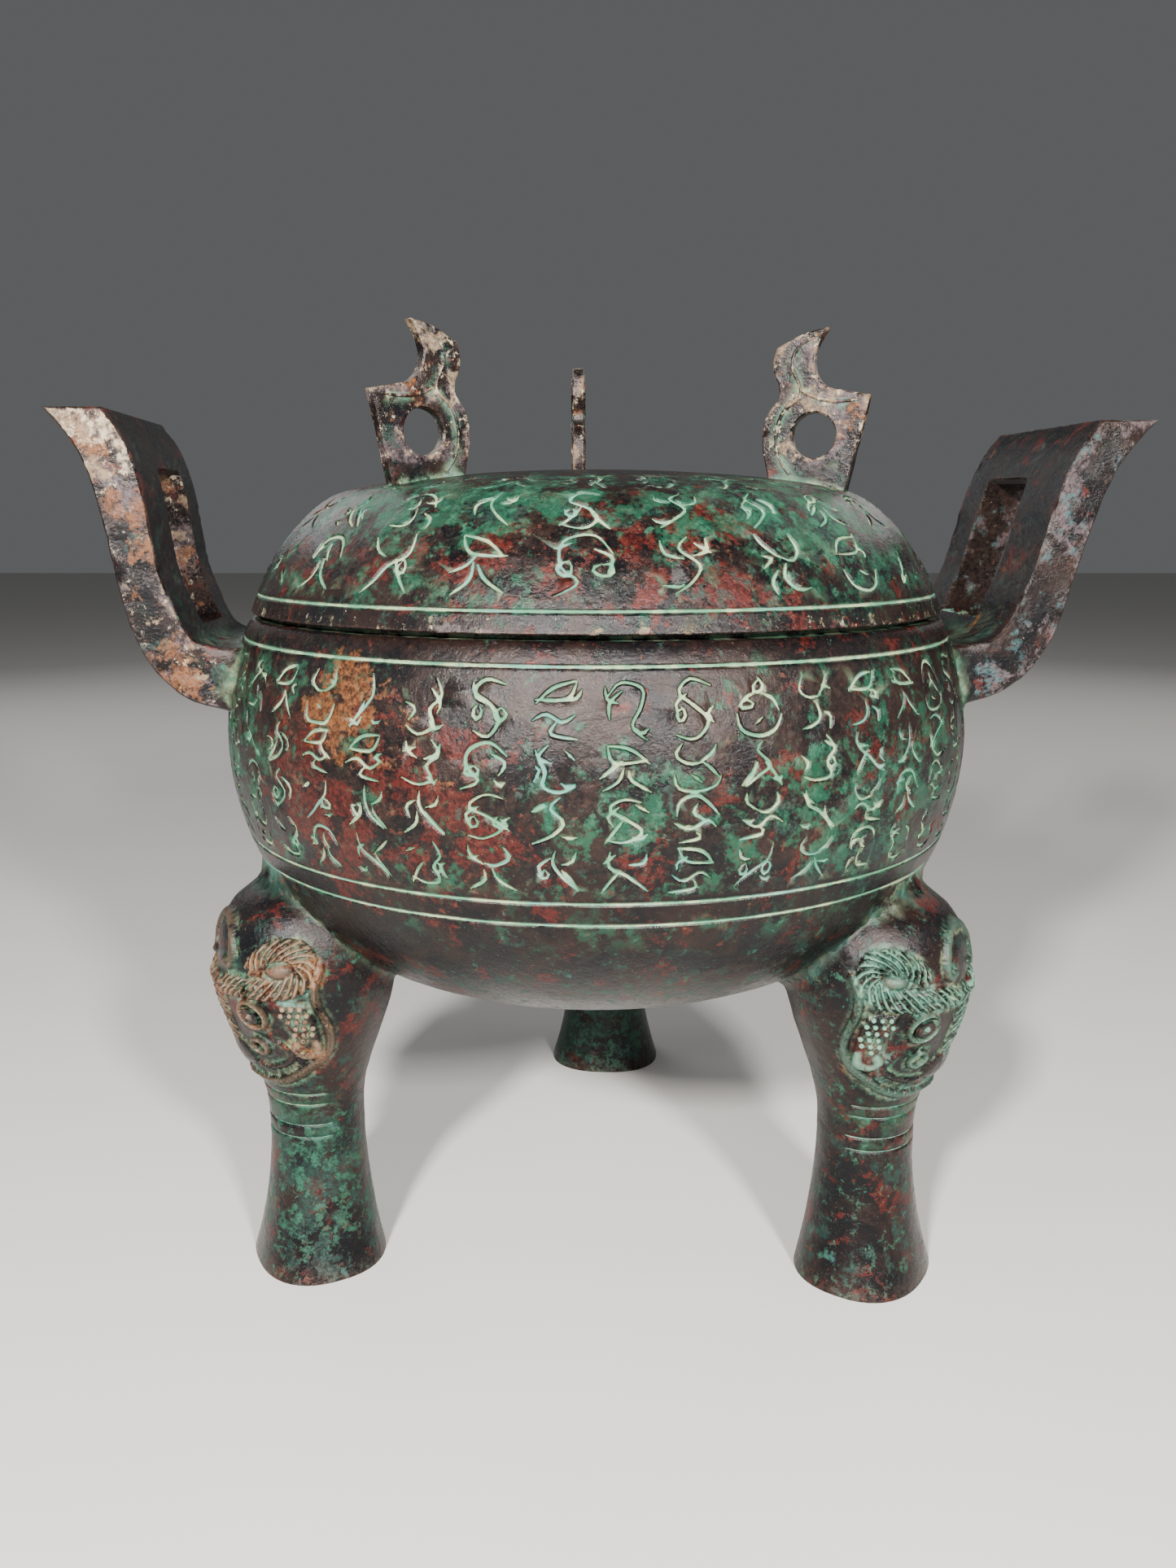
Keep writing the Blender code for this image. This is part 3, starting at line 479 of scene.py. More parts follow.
def tidy(item):
    """Merge doubled points and turn every face outwards."""
    shape = bmesh.new()
    shape.from_mesh(item.data)
    bmesh.ops.remove_doubles(shape, verts=shape.verts, dist=0.000004)
    bmesh.ops.dissolve_degenerate(shape, edges=shape.edges, dist=0.000004)
    bmesh.ops.recalc_face_normals(shape, faces=shape.faces)
    shape.to_mesh(item.data)
    shape.free()
    return item


def turned(name, profile, columns):
    """A solid turned about the axis from a profile that starts and ends on it."""
    turns = np.arange(columns) * 2 * math.pi / columns
    vertices = [(0.0, 0.0, profile[0][1])]
    for radius, height in profile[1:-1]:
        vertices += [(radius * math.cos(t), radius * math.sin(t), height) for t in turns]
    vertices.append((0.0, 0.0, profile[-1][1]))
    last = len(vertices) - 1
    faces = []
    for column in range(columns):
        after = (column + 1) % columns
        faces.append((0, 1 + column, 1 + after))
        for ring in range(len(profile) - 3):
            base = 1 + ring * columns
            faces.append((base + column, base + columns + column, base + columns + after, base + after))
        base = last - columns
        faces.append((base + column, last, base + after))
    return tidy(mesh_object(name, vertices, faces))


def sign_strokes(rng, centre, width, height, point_step, half_width):
    """The strokes of one invented sign: each is a line of points with a half width at each."""
    if rng.random() < 0.5:
        marks = [rng.choice(SPINE_MARKS)]
        for side in (-1, 1, -1, 1)[:rng.choice((3, 4))]:
            marks.append([(side * x, y) for x, y in rng.choice(SIDE_MARKS)])
    else:
        marks = list(rng.choice(CAP_MARKS)) + list(rng.choice(FOOT_MARKS))
        marks.append([(x, y * 0.6 + 0.3) for x, y in rng.choice(SIDE_MARKS)])
    flip = rng.choice((-1, 1))
    lean = rng.uniform(-0.10, 0.10)
    strokes = []
    for mark in marks:
        points = []
        for x, y in mark:
            x = flip * x + rng.uniform(-0.05, 0.05) + lean * (y - 0.5)
            y = min(max(y + rng.uniform(-0.04, 0.04), 0.0), 1.0)
            points.append((centre[0] + x * width, centre[1] + (y - 0.5) * height))
        line = spaced(rounded(points, 5), point_step)
        line[:, 1] = np.clip(line[:, 1], centre[1] - height / 2, centre[1] + height / 2)
        share = np.linspace(0.0, 1.0, len(line))
        widths = half_width * (0.42 + 0.58 * np.sin(np.pi * share) ** 0.6) * rng.uniform(0.85, 1.12)
        strokes.append((line, widths))
    return strokes


def stroke_outline(line, reach):
    """A closed line round a stroke, at its reach to each side."""
    along = (line[1] - line[0]) / np.hypot(*(line[1] - line[0]))
    along_end = (line[-1] - line[-2]) / np.hypot(*(line[-1] - line[-2]))
    left = offset_line(line, reach)
    right = offset_line(line, -reach)[::-1]
    start = line[0] - along * reach[0]
    end = line[-1] + along_end * reach[-1]
    return np.vstack([left, [end], right, [start], left[:1]])


def gaps_to(points, path):
    """Gap from each stretch's start, share along it and distance, for points and a line's stretches."""
    along = np.diff(path, axis=0)
    gap = points[:, None, :] - path[:-1][None]
    share = np.clip((gap * along[None]).sum(2) / np.maximum((along ** 2).sum(1), 1e-14), 0.0, 1.0)
    rest = gap - share[..., None] * along[None]
    return gap, share, np.hypot(rest[..., 0], rest[..., 1])


def stroke_depth(points, strokes):
    """Depth share, 0 to 1, that a sign's strokes have at points of the unrolled surface."""
    depth = np.zeros(len(points))
    for line, widths in strokes:
        _, share, distance = gaps_to(points, line)
        reach = widths[:-1] * (1 - share) + widths[1:] * share
        depth = np.maximum(depth, np.clip(1 - distance / reach, 0.0, 1.0).max(1))
    return depth


def incised_strip(low, high, columns, scale, signs, settings):
    """An unrolled band with strokes cut in it: points, depth shares and triangles.

    signs holds, for each cell, its box and its strokes. The band closes on itself at its ends.
    """
    half = math.pi * scale
    points = [(half * (2 * column / columns - 1), y) for y in (low, high) for column in range(columns + 1)]
    edges = []
    every = [stroke for _, strokes in signs for stroke in strokes]
    reach = max(widths.max() for _, widths in every)
    lines = np.vstack([line for line, _ in every])
    lowest, highest = lines[:, 1].min(), lines[:, 1].max()
    if lowest - reach < low or highest + reach > high:
        raise RuntimeError(f"strokes from {lowest:.5f} to {highest:.5f} leave their band")
    cell = settings.ground_step
    taken = {(int(x // cell), int(y // cell)) for x, y in lines}
    around = [(i, j) for i in (-1, 0, 1) for j in (-1, 0, 1)]
    rows = max(int((high - low) / (cell * ROW_PITCH)), 2)
    across = max(int(2 * half / cell), 8)
    for row in range(1, rows):
        y = low + (high - low) * row / rows
        shift = 0.49 if row % 2 else 0.0
        points += [(-half, y), (half, y)]
        for column in range(1, across):
            x = half * (2 * (column + shift) / across - 1)
            if not any((int(x // cell) + i, int(y // cell) + j) in taken for i, j in around):
                points.append((x, y))
    for line, widths in every:
        add_line(points, edges, line)
        add_line(points, edges, stroke_outline(line, widths))
    flat, faces = triangulated(points, edges, 0.00006)
    depth = np.zeros(len(flat))
    for (left, right, foot, top), strokes in signs:
        inside = np.where((flat[:, 0] >= left) & (flat[:, 0] <= right)
                          & (flat[:, 1] >= foot) & (flat[:, 1] <= top))[0]
        if len(inside):
            depth[inside] = np.maximum(depth[inside], stroke_depth(flat[inside], strokes))
    return flat, depth, faces


def make_signs(rng, columns, rows, scale, phase, width_share, settings):
    """Cells of invented signs in rows round the axis; rows are (low, high) of the unrolled band."""
    signs = []
    pitch = 2 * math.pi / columns
    for column in range(columns):
        turn = phase + column * pitch
        turn = (turn + math.pi) % (2 * math.pi) - math.pi
        x = turn * scale
        half = pitch * scale / 2
        if abs(x) + half > math.pi * scale:
            continue
        for low, high in rows:
            middle = (x + rng.uniform(-0.03, 0.03) * half, (low + high) / 2)
            width = 2 * half * width_share * rng.uniform(0.88, 1.06)
            strokes = sign_strokes(rng, middle, width, (high - low) * rng.uniform(0.96, 1.0),
                                   settings.point_step, settings.half_width)
            signs.append(((x - half, x + half, low - 0.003, high + 0.003), strokes))
    return signs


def banded_solid(name, above, strip, below, columns, scale, surface):
    """A turned solid whose middle band is an incised strip; surface maps the band to radius, height."""
    flat, depth, faces = strip
    turns = np.arange(columns) * 2 * math.pi / columns - math.pi
    vertices, shares, polygons = [], [], []

    def ring(radius, height, share=0.0, around=turns):
        start = len(vertices)
        vertices.extend((radius * math.cos(turn), radius * math.sin(turn), height) for turn in around)
        shares.extend([share] * len(around))
        return start

    def join(upper, lower):
        for column in range(columns):
            after = (column + 1) % columns
            polygons.append((upper + column, lower + column, lower + after, upper + after))

    low, high = flat[:, 1].min(), flat[:, 1].max()
    top_pole = ring(0.0, above[0][1], 0.0, [0.0])
    rings = [ring(*item) for item in above[1:]]
    band_top = ring(*surface(high))
    for a, b in zip(rings, rings[1:] + [band_top]):
        join(a, b)
    band_foot = ring(*surface(low))
    lower = [ring(*item) for item in below[:-1]]
    for a, b in zip([band_foot] + lower, lower):
        join(a, b)
    foot_pole = ring(0.0, below[-1][1], 0.0, [0.0])
    for column in range(columns):
        after = (column + 1) % columns
        polygons.append((top_pole, rings[0] + column, rings[0] + after))
        polygons.append((lower[-1] + after, lower[-1] + column, foot_pole))
    half = math.pi * scale
    index_of = np.zeros(len(flat), int)
    seam = {}
    for index, (x, y) in enumerate(flat):
        row = band_top if y > high - NET_ACCURACY else band_foot if y < low + NET_ACCURACY else None
        if row is not None:
            index_of[index] = row + int(round((x / half + 1) / 2 * columns)) % columns
            continue
        on_seam, key = abs(x) > half - NET_ACCURACY, round(y / NET_ACCURACY)
        if on_seam and key in seam:
            index_of[index] = seam[key]
            continue
        index_of[index] = ring(*surface(y, depth[index]), depth[index], [x / scale])
        if on_seam:
            seam[key] = index_of[index]
    corners = [[int(index_of[index]) for index in face] for face in faces]
    item = mesh_object(name, vertices, polygons + [face for face in corners if len(set(face)) == 3])
    store(item, "stroke", np.array(shares))
    return tidy(item)


def store(item, name, values):
    """Keep one number for each point of a mesh."""
    attribute = item.data.attributes.get(name) or item.data.attributes.new(name, "FLOAT", "POINT")
    attribute.data.foreach_set("value", np.asarray(values, np.float32))


def groove_rings(height):
    """Rings of a turned groove in the belly, from its upper side down, with their depth shares."""
    rings = [(up, 0.0) for up in (GROOVE_HALF_WIDTH + GROOVE_MARGIN, GROOVE_HALF_WIDTH)]
    rings += [(0.0, 1.0)] + [(-up, share) for up, share in rings[::-1]]
    return [(belly_radius(height + up) - GROOVE_DEPTH * share, height + up, share) for up, share in rings]


def make_bowl(settings):
    """The bowl's outside with its lip, grooves and rows of strokes, as a closed solid."""
    upper, lower, last = BELLY_GROOVES
    above = [(0.0, LIP_TOP_HEIGHT), (LIP_RADIUS * 0.6, LIP_TOP_HEIGHT),
             (LIP_RADIUS - LIP_SOFTNESS, LIP_TOP_HEIGHT), (LIP_RADIUS, LIP_TOP_HEIGHT - LIP_SOFTNESS),
             (LIP_RADIUS, SHOULDER_HEIGHT + 0.0003), (LIP_RADIUS + 0.0004, SHOULDER_HEIGHT),
             (SHOULDER_RADIUS - 0.0011, SHOULDER_HEIGHT - 0.0001),
             (SHOULDER_RADIUS - 0.0002, SHOULDER_HEIGHT - 0.0008),
             (belly_radius(SHOULDER_HEIGHT - 0.0022), SHOULDER_HEIGHT - 0.0022)]
    above += groove_rings(upper)
    margin = GROOVE_HALF_WIDTH + GROOVE_MARGIN + STRIP_GAP
    signs = make_signs(random.Random(11), settings.belly_columns, BELLY_ROWS, BELLY_RADIUS, BELLY_PHASE,
                       BELLY_SIGN_WIDTH, settings)
    strip = incised_strip(lower + margin, upper - margin, settings.ring_columns, BELLY_RADIUS, signs,
                          settings)

    def surface(height, share=0.0):
        return belly_radius(height) - settings.depth * share ** STROKE_POWER, height

    below = groove_rings(lower) + [(belly_radius(lower - 0.0030), lower - 0.0030, 0.0)]
    below += groove_rings(last)[:4]
    below += [(radius, height) for radius, height in bottom_profile(26) if height < EDGE_HEIGHT - 0.0008]
    return banded_solid("bowl", above, strip, below, settings.ring_columns, BELLY_RADIUS, surface)


def cavity_profile():
    """Profile of the bowl's hollow, from above the mouth down to the inner bottom."""
    above = LIP_TOP_HEIGHT + LIP_HEIGHT
    neck = SHOULDER_HEIGHT - BOWL_WALL
    hollow_top = neck - (belly_radius(neck) - BOWL_WALL - MOUTH_RADIUS)
    outer = [(belly_radius(hollow_top + (EDGE_HEIGHT - hollow_top) * part / 12),
              hollow_top + (EDGE_HEIGHT - hollow_top) * part / 12) for part in range(12)]
    inner = inset(outer + bottom_profile(14), BOWL_WALL)
    inner[-1] = (0.0, BOTTOM_HEIGHT + BOWL_WALL)
    wide = MOUTH_RADIUS + 0.0004
    return [(0.0, above), (wide, above), (wide, LIP_TOP_HEIGHT),
            (MOUTH_RADIUS, LIP_TOP_HEIGHT - LIP_SOFTNESS), (MOUTH_RADIUS, neck)] + inner


def curve_outline(points, resolution):
    """Points round a closed outline of (x, y, corner) knots."""
    curve = bpy.data.curves.new("outline", "CURVE")
    curve.dimensions = "2D"
    curve.fill_mode = "NONE"
    curve.resolution_u = resolution
    spline = curve.splines.new("BEZIER")
    spline.bezier_points.add(len(points) - 1)
    spline.use_cyclic_u = True
    for knot, (x, y, corner) in zip(spline.bezier_points, points):
        knot.co = (x, y, 0.0)
        knot.handle_left_type = knot.handle_right_type = "VECTOR" if corner else "AUTO"
    item = add_object("outline", curve)
    mesh = plain_mesh(item)
    outline = [(vertex.co.x, vertex.co.y) for vertex in mesh.vertices]
    bpy.data.objects.remove(item, do_unlink=True)
    bpy.data.meshes.remove(mesh)
    return outline


def within(points, loops):
    """Which points lie inside an even-odd set of closed loops."""
    points = np.asarray(points, float)
    inside = np.zeros(len(points), bool)
    for loop in loops:
        loop = np.asarray(loop, float)
        following = np.roll(loop, -1, axis=0)
        for (ax, ay), (bx, by) in zip(loop, following):
            crosses = (ay > points[:, 1]) != (by > points[:, 1])
            if not crosses.any():
                continue
            at = ax + (points[:, 1] - ay) / (by - ay + 1e-18) * (bx - ax)
            inside ^= crosses & (points[:, 0] < at)
    return inside


def even_loop(loop, step):
    """A closed outline's points at an even distance, with its corners kept."""
    result = []
    for (ax, ay), (bx, by) in zip(loop, loop[1:] + loop[:1]):
        count = max(int(round(math.hypot(bx - ax, by - ay) / step)), 1)
        result += [(ax + (bx - ax) * i / count, ay + (by - ay) * i / count) for i in range(count)]
    return result


def shrink(loop, distance):
    """A closed outline moved inwards; the outline may turn either way."""
    line = np.asarray(loop, float)
    before, after = np.roll(line, 1, axis=0), np.roll(line, -1, axis=0)
    area = float(np.sum(line[:, 0] * after[:, 1] - after[:, 0] * line[:, 1]))
    one = line - before
    two = after - line
    one /= np.maximum(np.hypot(*one.T), 1e-12)[:, None]
    two /= np.maximum(np.hypot(*two.T), 1e-12)[:, None]
    normal = np.column_stack([-(one + two)[:, 1], (one + two)[:, 0]])
    size = np.maximum(np.hypot(*normal.T), 0.8)
    sign = 1.0 if area > 0 else -1.0
    return line + sign * distance * normal / size[:, None] * np.minimum(2 / size, 1.3)[:, None]


def slab(name, loops, thickness, chamfer, step, wall_step):
    """A plate with chamfered edges; the first loop is its outline and the rest are holes."""
    loops = [even_loop(list(loop), step) for loop in loops]
    inner = [shrink(loop, chamfer if index == 0 else -chamfer) for index, loop in enumerate(loops)]
    points = []
    edges = []
    for loop in inner:
        start = len(points)
        points += [tuple(point) for point in loop]
        edges += [(start + i, start + (i + 1) % len(loop)) for i in range(len(loop))]
    line = np.array(points)
    low, high = line.min(0), line.max(0)
    grid = []
    for row, y in enumerate(np.arange(low[1] + step / 2, high[1], step * ROW_PITCH)):
        indent = step * (0.5 if row % 2 else 1.0)
        grid += [(x, y) for x in np.arange(low[0] + indent, high[0], step)]
    grid = np.array(grid)
    grid = grid[within(grid, inner)]
    gaps = np.sqrt(((grid[:, None] - line[None]) ** 2).sum(2)).min(1)
    points += [tuple(point) for point in grid[gaps > step * 0.6]]
    flat, faces = triangulated(points, edges, NET_ACCURACY)
    faces = np.array(faces)
    faces = faces[within(flat[faces].mean(1), inner)]
    if len(flat) != len(points):
        raise RuntimeError(f"{name}: its outline crosses itself")
    half = thickness / 2
    vertices = [(x, y, half) for x, y in flat] + [(x, y, -half) for x, y in flat]
    polygons = [tuple(f) for f in faces] + [tuple(f[::-1] + len(flat)) for f in faces]
    rows = max(int(round((thickness - 2 * chamfer) / wall_step)), 1)
    levels = [half - chamfer - (thickness - 2 * chamfer) * row / rows for row in range(rows + 1)]
    start = 0
    for loop in loops:
        size = len(loop)
        previous = [start + i for i in range(size)]
        for level in levels:
            base = len(vertices)
            vertices += [(x, y, level) for x, y in loop]
            current = [base + i for i in range(size)]
            polygons += [(previous[i], current[i], current[(i + 1) % size], previous[(i + 1) % size])
                         for i in range(size)]
            previous = current
        last = [len(flat) + start + i for i in range(size)]
        polygons += [(previous[i], last[i], last[(i + 1) % size], previous[(i + 1) % size])
                     for i in range(size)]
        start += size
    return tidy(mesh_object(name, vertices, polygons))


def smooth(share):
    """An even S-curve from 0 to 1."""
    share = min(max(share, 0.0), 1.0)
    return share * share * (3 - 2 * share)


def ear_outline(rise, reach, bow):
    """Side outline of an ear, X out from the belly's widest circle and Y up from the shoulder."""
    inner = [(0.606, 1.00, True), (0.500, 0.90, False), (0.420, 0.78, False), (0.345, 0.60, False),
             (0.289, 0.39, False), (0.236, 0.22, False), (0.166, 0.09, False), (0.090, -0.035, False),
             (-0.010, -0.110, False)]
    outer = [(0.060, -0.400, False), (0.250, -0.300, False), (0.400, -0.150, False),
             (0.490, 0.030, False), (0.565, 0.27, False), (0.646, 0.52, False),
             (0.765, 0.775, False), (0.875, 0.895, False), (1.00, 1.00, True)]
    root = -EAR_ROOT_DEPTH / reach
    points = inner + [(root, -0.130, True), (root, -0.475, True)] + outer
    return [(x * reach + bow * (1 - smooth(y)), y * rise, corner) for x, y, corner in points]


def ear_place(index):
    """The place of an ear about the bowl's axis, and its angle."""
    turn = math.radians(EAR_TURNS[index])
    angle = turn + math.radians(EAR_TWISTS[index])
    foot = (BELLY_RADIUS * math.cos(turn), BELLY_RADIUS * math.sin(turn), SHOULDER_HEIGHT)
    return Matrix.Translation(foot) @ Matrix.Rotation(angle, 4, "Z"), angle


def make_ear(index):
    """One ear's plate, in its place about the bowl's axis."""
    outline = curve_outline(ear_outline(EAR_RISES[index], EAR_REACHES[index], EAR_BOWS[index]), 6)
    plate = slab(f"ear_{index}", [outline], EAR_WIDTH, EAR_EDGE, 0.0032, 0.0036)
    plate.data.transform(ear_place(index)[0] @ Matrix.Rotation(math.pi / 2, 4, "X"))
    return plate


def make_slot(index):
    """The cutter of one ear's slot, with slightly rounded corners."""
    foot, top = -SLOT_FOOT_BELOW_SHOULDER, EAR_RISES[index] - SLOT_TOP_BELOW_EAR_TOP
    half, soft = SLOT_WIDTH / 2, SLOT_SOFTNESS
    corners = [(-half + soft, foot), (half - soft, foot), (half, foot + soft), (half, top - soft),
               (half - soft, top), (-half + soft, top), (-half, top - soft), (-half, foot + soft)]
    vertices = [(x * EAR_REACHES[index], y, z) for x in (0.05, 1.05) for y, z in corners]
    size = len(corners)
    faces = [tuple(range(size))[::-1], tuple(range(size, 2 * size))]
    faces += [(i, (i + 1) % size, size + (i + 1) % size, size + i) for i in range(size)]
    cutter = mesh_object(f"slot_{index}", vertices, faces)
    place, angle = ear_place(index)
    back = math.copysign(SLOT_OFFSET, math.cos(angle))
    cutter.data.transform(place @ Matrix.Translation((0.0, back, 0.0)))
    return tidy(cutter)


def leg_section(height):
    """Centre radius, half depth, half width and corner exponent of a leg at a height."""
    if height < ANKLE_HEIGHT:
        flare = (1 - height / ANKLE_HEIGHT) ** FLARE_POWER
        depth = ANKLE_DEPTH + (SOLE_DEPTH - ANKLE_DEPTH) * flare
        width = ANKLE_WIDTH + (SOLE_WIDTH - ANKLE_WIDTH) * flare
        return LEG_RADIUS + FOOT_SPLAY * flare, depth / 2, width / 2, 2 + SOLE_SQUARENESS * flare
    swell = smooth((height - CALF_HEIGHT) / (KNEE_HEIGHT - CALF_HEIGHT))
    depth = ANKLE_DEPTH + (KNEE_DEPTH - ANKLE_DEPTH) * swell
    width = ANKLE_WIDTH + (KNEE_WIDTH - ANKLE_WIDTH) * swell
    if height > KNEE_HEIGHT:
        share = (height - KNEE_HEIGHT) / (LEG_TOP_HEIGHT - KNEE_HEIGHT)
        dome = math.sqrt(max(1 - share ** KNEE_DOME_POWER, KNEE_TOP_SHARE ** 2))
        depth *= dome
        width *= dome
    return LEG_RADIUS, depth / 2, width / 2, 2.0


def line_distance(points, path):
    """Distance from points to a line of straight stretches."""
    return gaps_to(points, np.asarray(path, float))[2].min(1)


def hump(share):
    """Height share of a round ridge at a share of its half width."""
    return np.sqrt(np.clip(1 - share ** 2, 0.0, 1.0))


def twisted(points, path, pitch, lean):
    """Distance from a rope's middle, and the height share of its slanting strands, at points."""
    path = np.asarray(path, float)
    gap, share, distance = gaps_to(points, path)
    nearest = distance.argmin(1)
    rows = np.arange(len(points))
    along = np.diff(path, axis=0)
    length = np.hypot(*along.T)
    run = run_along(path)[nearest] + share[rows, nearest] * length[nearest]
    gap, way = gap[rows, nearest], along[nearest] / length[nearest][:, None]
    offset = way[:, 0] * gap[:, 1] - way[:, 1] * gap[:, 0]
    phase = (run + lean * offset) / pitch
    return distance.min(1), hump((phase - np.floor(phase) - 0.5) / (0.5 - STRAND_EDGE))


def strand_lines(path, half_width, pitch, lean):
    """The ridges and edges of a rope's strands as lines across it."""
    path = spaced(path, 0.004)
    length = run_along(path)
    along = np.gradient(path, axis=0)
    along /= np.hypot(*along.T)[:, None]
    lines = []
    phases = [count + part for count in range(-3, int(length[-1] / pitch) + 4)
              for part in (STRAND_EDGE, 0.34, 0.5, 0.66, 1 - STRAND_EDGE)]
    for phase in phases:
        line = []
        for share in np.linspace(-0.94, 0.94, 6):
            offset = share * half_width
            run = phase * pitch - lean * offset
            if 0.0 < run < length[-1]:
                spot = np.array([np.interp(run, length, path[:, k]) for k in (0, 1)])
                way = np.array([np.interp(run, length, along[:, k]) for k in (0, 1)])
                line.append(spot + offset * np.array((-way[1], way[0])))
        if len(line) > 1:
            lines.append(np.array(line))
    return lines


def plateau(distance, shoulder):
    """Height share of a flat-topped form that falls off at its edge."""
    share = np.clip(distance / shoulder, 0.0, 1.0)
    return share * share * (3 - 2 * share)


def oval(points, centre, size):
    """Distance of points from an oval's middle, as a share of its size."""
    return np.hypot(*((points - centre) / size).T)


def collar(share, middle):
    """Height share of a round ring that ends at a share of 1 and is highest at its middle."""
    return hump(np.abs(share - middle) / (1 - middle))


def mask_relief(points, relief):
    """Height of the mask's carving at points (u out from the nose, v up from the chin), and its crests."""
    points = np.abs(points * [1, 0]) + points * [0, 1]
    contour, lip, curl, crest = (
        hump(line_distance(points, rounded(path, 3)) / half_width)
        for path, half_width in ((CONTOUR_PATH, CONTOUR_HALF_WIDTH), (LIP_PATH, LIP_HALF_WIDTH),
                                 (CURL_PATH, CURL_HALF_WIDTH), (CREST_PATH, CREST_HALF_WIDTH)))
    brow, brow_strand = twisted(points, spaced(rounded(BROW_PATH, 4), 0.02), ROPE_PITCH, ROPE_LEAN)
    nose, nose_strand = twisted(points, NOSE_PATH, NOSE_PITCH, NOSE_LEAN)
    band = np.sqrt(np.clip(1 - (brow / BROW_HALF_WIDTH) ** 4, 0.0, 1.0))
    eye, nostril = oval(points, EYE_CENTRE, EYE_RADIUS), oval(points, NOSTRIL_CENTRE, NOSTRIL_RADIUS)
    eye_ring, nostril_ring, pupil = collar(eye, EYE_RING), collar(nostril, NOSTRIL_RING), hump(eye / PUPIL)
    boss = hump(oval(points, BOSS_CENTRE, BOSS_SIZE))
    cheek_edge = line_distance(points, CHEEK_OUTLINE + CHEEK_OUTLINE[:1])
    cheek = np.where(within(points, [CHEEK_OUTLINE]), plateau(cheek_edge, CHEEK_EDGE), 0.0)
    face = CONTOUR_PATH + [(0.62, 0.62), (0.0, 0.62)]
    ground = np.where(within(points, [face]), relief.face, 0.0)
    parts = [
        relief.contour * contour,
        relief.contour * 0.6 * lip,
        relief.brow * band * (0.50 + 0.62 * brow_strand),
        relief.crest * crest,
        relief.nose * hump(nose / NOSE_HALF_WIDTH) * (0.70 + 0.40 * nose_strand),
        relief.cheek * 1.8 * curl,
        relief.boss * boss,
        relief.snout * hump(oval(points, SNOUT_CENTRE, SNOUT_SIZE)),
        relief.cheek * cheek,
        relief.eye * eye_ring,
        relief.eye * 0.95 * plateau(EYEBALL - eye, 0.10) * (eye < EYEBALL),
        relief.eye * 1.45 * pupil,
        relief.eye * 0.8 * nostril_ring,
    ]
    crests = [
        (brow < BROW_HALF_WIDTH) * np.clip(brow_strand * 1.6 - 0.6, 0.0, 1.0),
        (nose < NOSE_HALF_WIDTH) * np.clip(nose_strand * 1.4 - 0.6, 0.0, 1.0) * 0.7,
    ]
    crests += [weight * form ** 2 for weight, form in (
        (0.34, contour), (0.8, curl), (0.30, crest), (0.42, boss), (0.60, eye_ring), (0.70, pupil),
        (0.50, nostril_ring))]
    return ground + np.max(parts, axis=0), np.max(crests, axis=0)


def circle(centre, size, count):
    """A closed line of points round an oval."""
    turns = np.linspace(0.0, 2 * math.pi, count + 1)
    return np.column_stack([centre[0] + size[0] * np.cos(turns), centre[1] + size[1] * np.sin(turns)])


def mask_lines():
    """The lines on one half of the mask where its carving changes slope."""
    lines = []
    ridges = [(rounded(CONTOUR_PATH, 3), CONTOUR_HALF_WIDTH), (rounded(BROW_PATH, 4), BROW_HALF_WIDTH),
              (rounded(CREST_PATH, 3), CREST_HALF_WIDTH), (rounded(LIP_PATH, 3), LIP_HALF_WIDTH),
              (rounded(CURL_PATH, 3), CURL_HALF_WIDTH)]
    for path, half_width in ridges:
        path = spaced(path, 0.022)
        lines += [path, offset_line(path, half_width), offset_line(path, -half_width)]
    nose = spaced(NOSE_PATH, 0.03)
    lines += [nose, offset_line(nose, NOSE_HALF_WIDTH)]
    lines += [circle(BOSS_CENTRE, BOSS_SIZE, 20),
              circle(BOSS_CENTRE, (BOSS_SIZE[0] / 2, BOSS_SIZE[1] / 2), 10)]
    eye = ((1.0, 26), (EYE_RING, 22), (2 * EYE_RING - 1, 18), (EYEBALL, 18), (0.50, 14), (PUPIL, 8))
    nostril = ((1.0, 18), (NOSTRIL_RING, 14), (2 * NOSTRIL_RING - 1, 10))
    for centre, radius, rings in ((EYE_CENTRE, EYE_RADIUS, eye), (NOSTRIL_CENTRE, NOSTRIL_RADIUS, nostril)):
        lines += [circle(centre, (radius * share, radius * share), count) for share, count in rings]
    cheek = spaced(CHEEK_OUTLINE + CHEEK_OUTLINE[:1], 0.025)
    lines += [cheek, offset_line(cheek, -CHEEK_EDGE)]
    lines.append(circle(SNOUT_CENTRE, SNOUT_SIZE, 24))
    lines += strand_lines(rounded(BROW_PATH, 4), BROW_HALF_WIDTH, ROPE_PITCH, ROPE_LEAN)
    lines += strand_lines(NOSE_PATH, NOSE_HALF_WIDTH, NOSE_PITCH, NOSE_LEAN)
    return [line[line[:, 0] >= -1e-6] for line in lines]


def unrolled(point):
    """Place a point of the mask's drawing on the leg's unrolled surface."""
    height = MASK_BASE_HEIGHT + point[1] * MASK_SIZE
    return (point[0] * MASK_SIZE / leg_section(height)[2] * KNEE_WIDTH / 2, height)


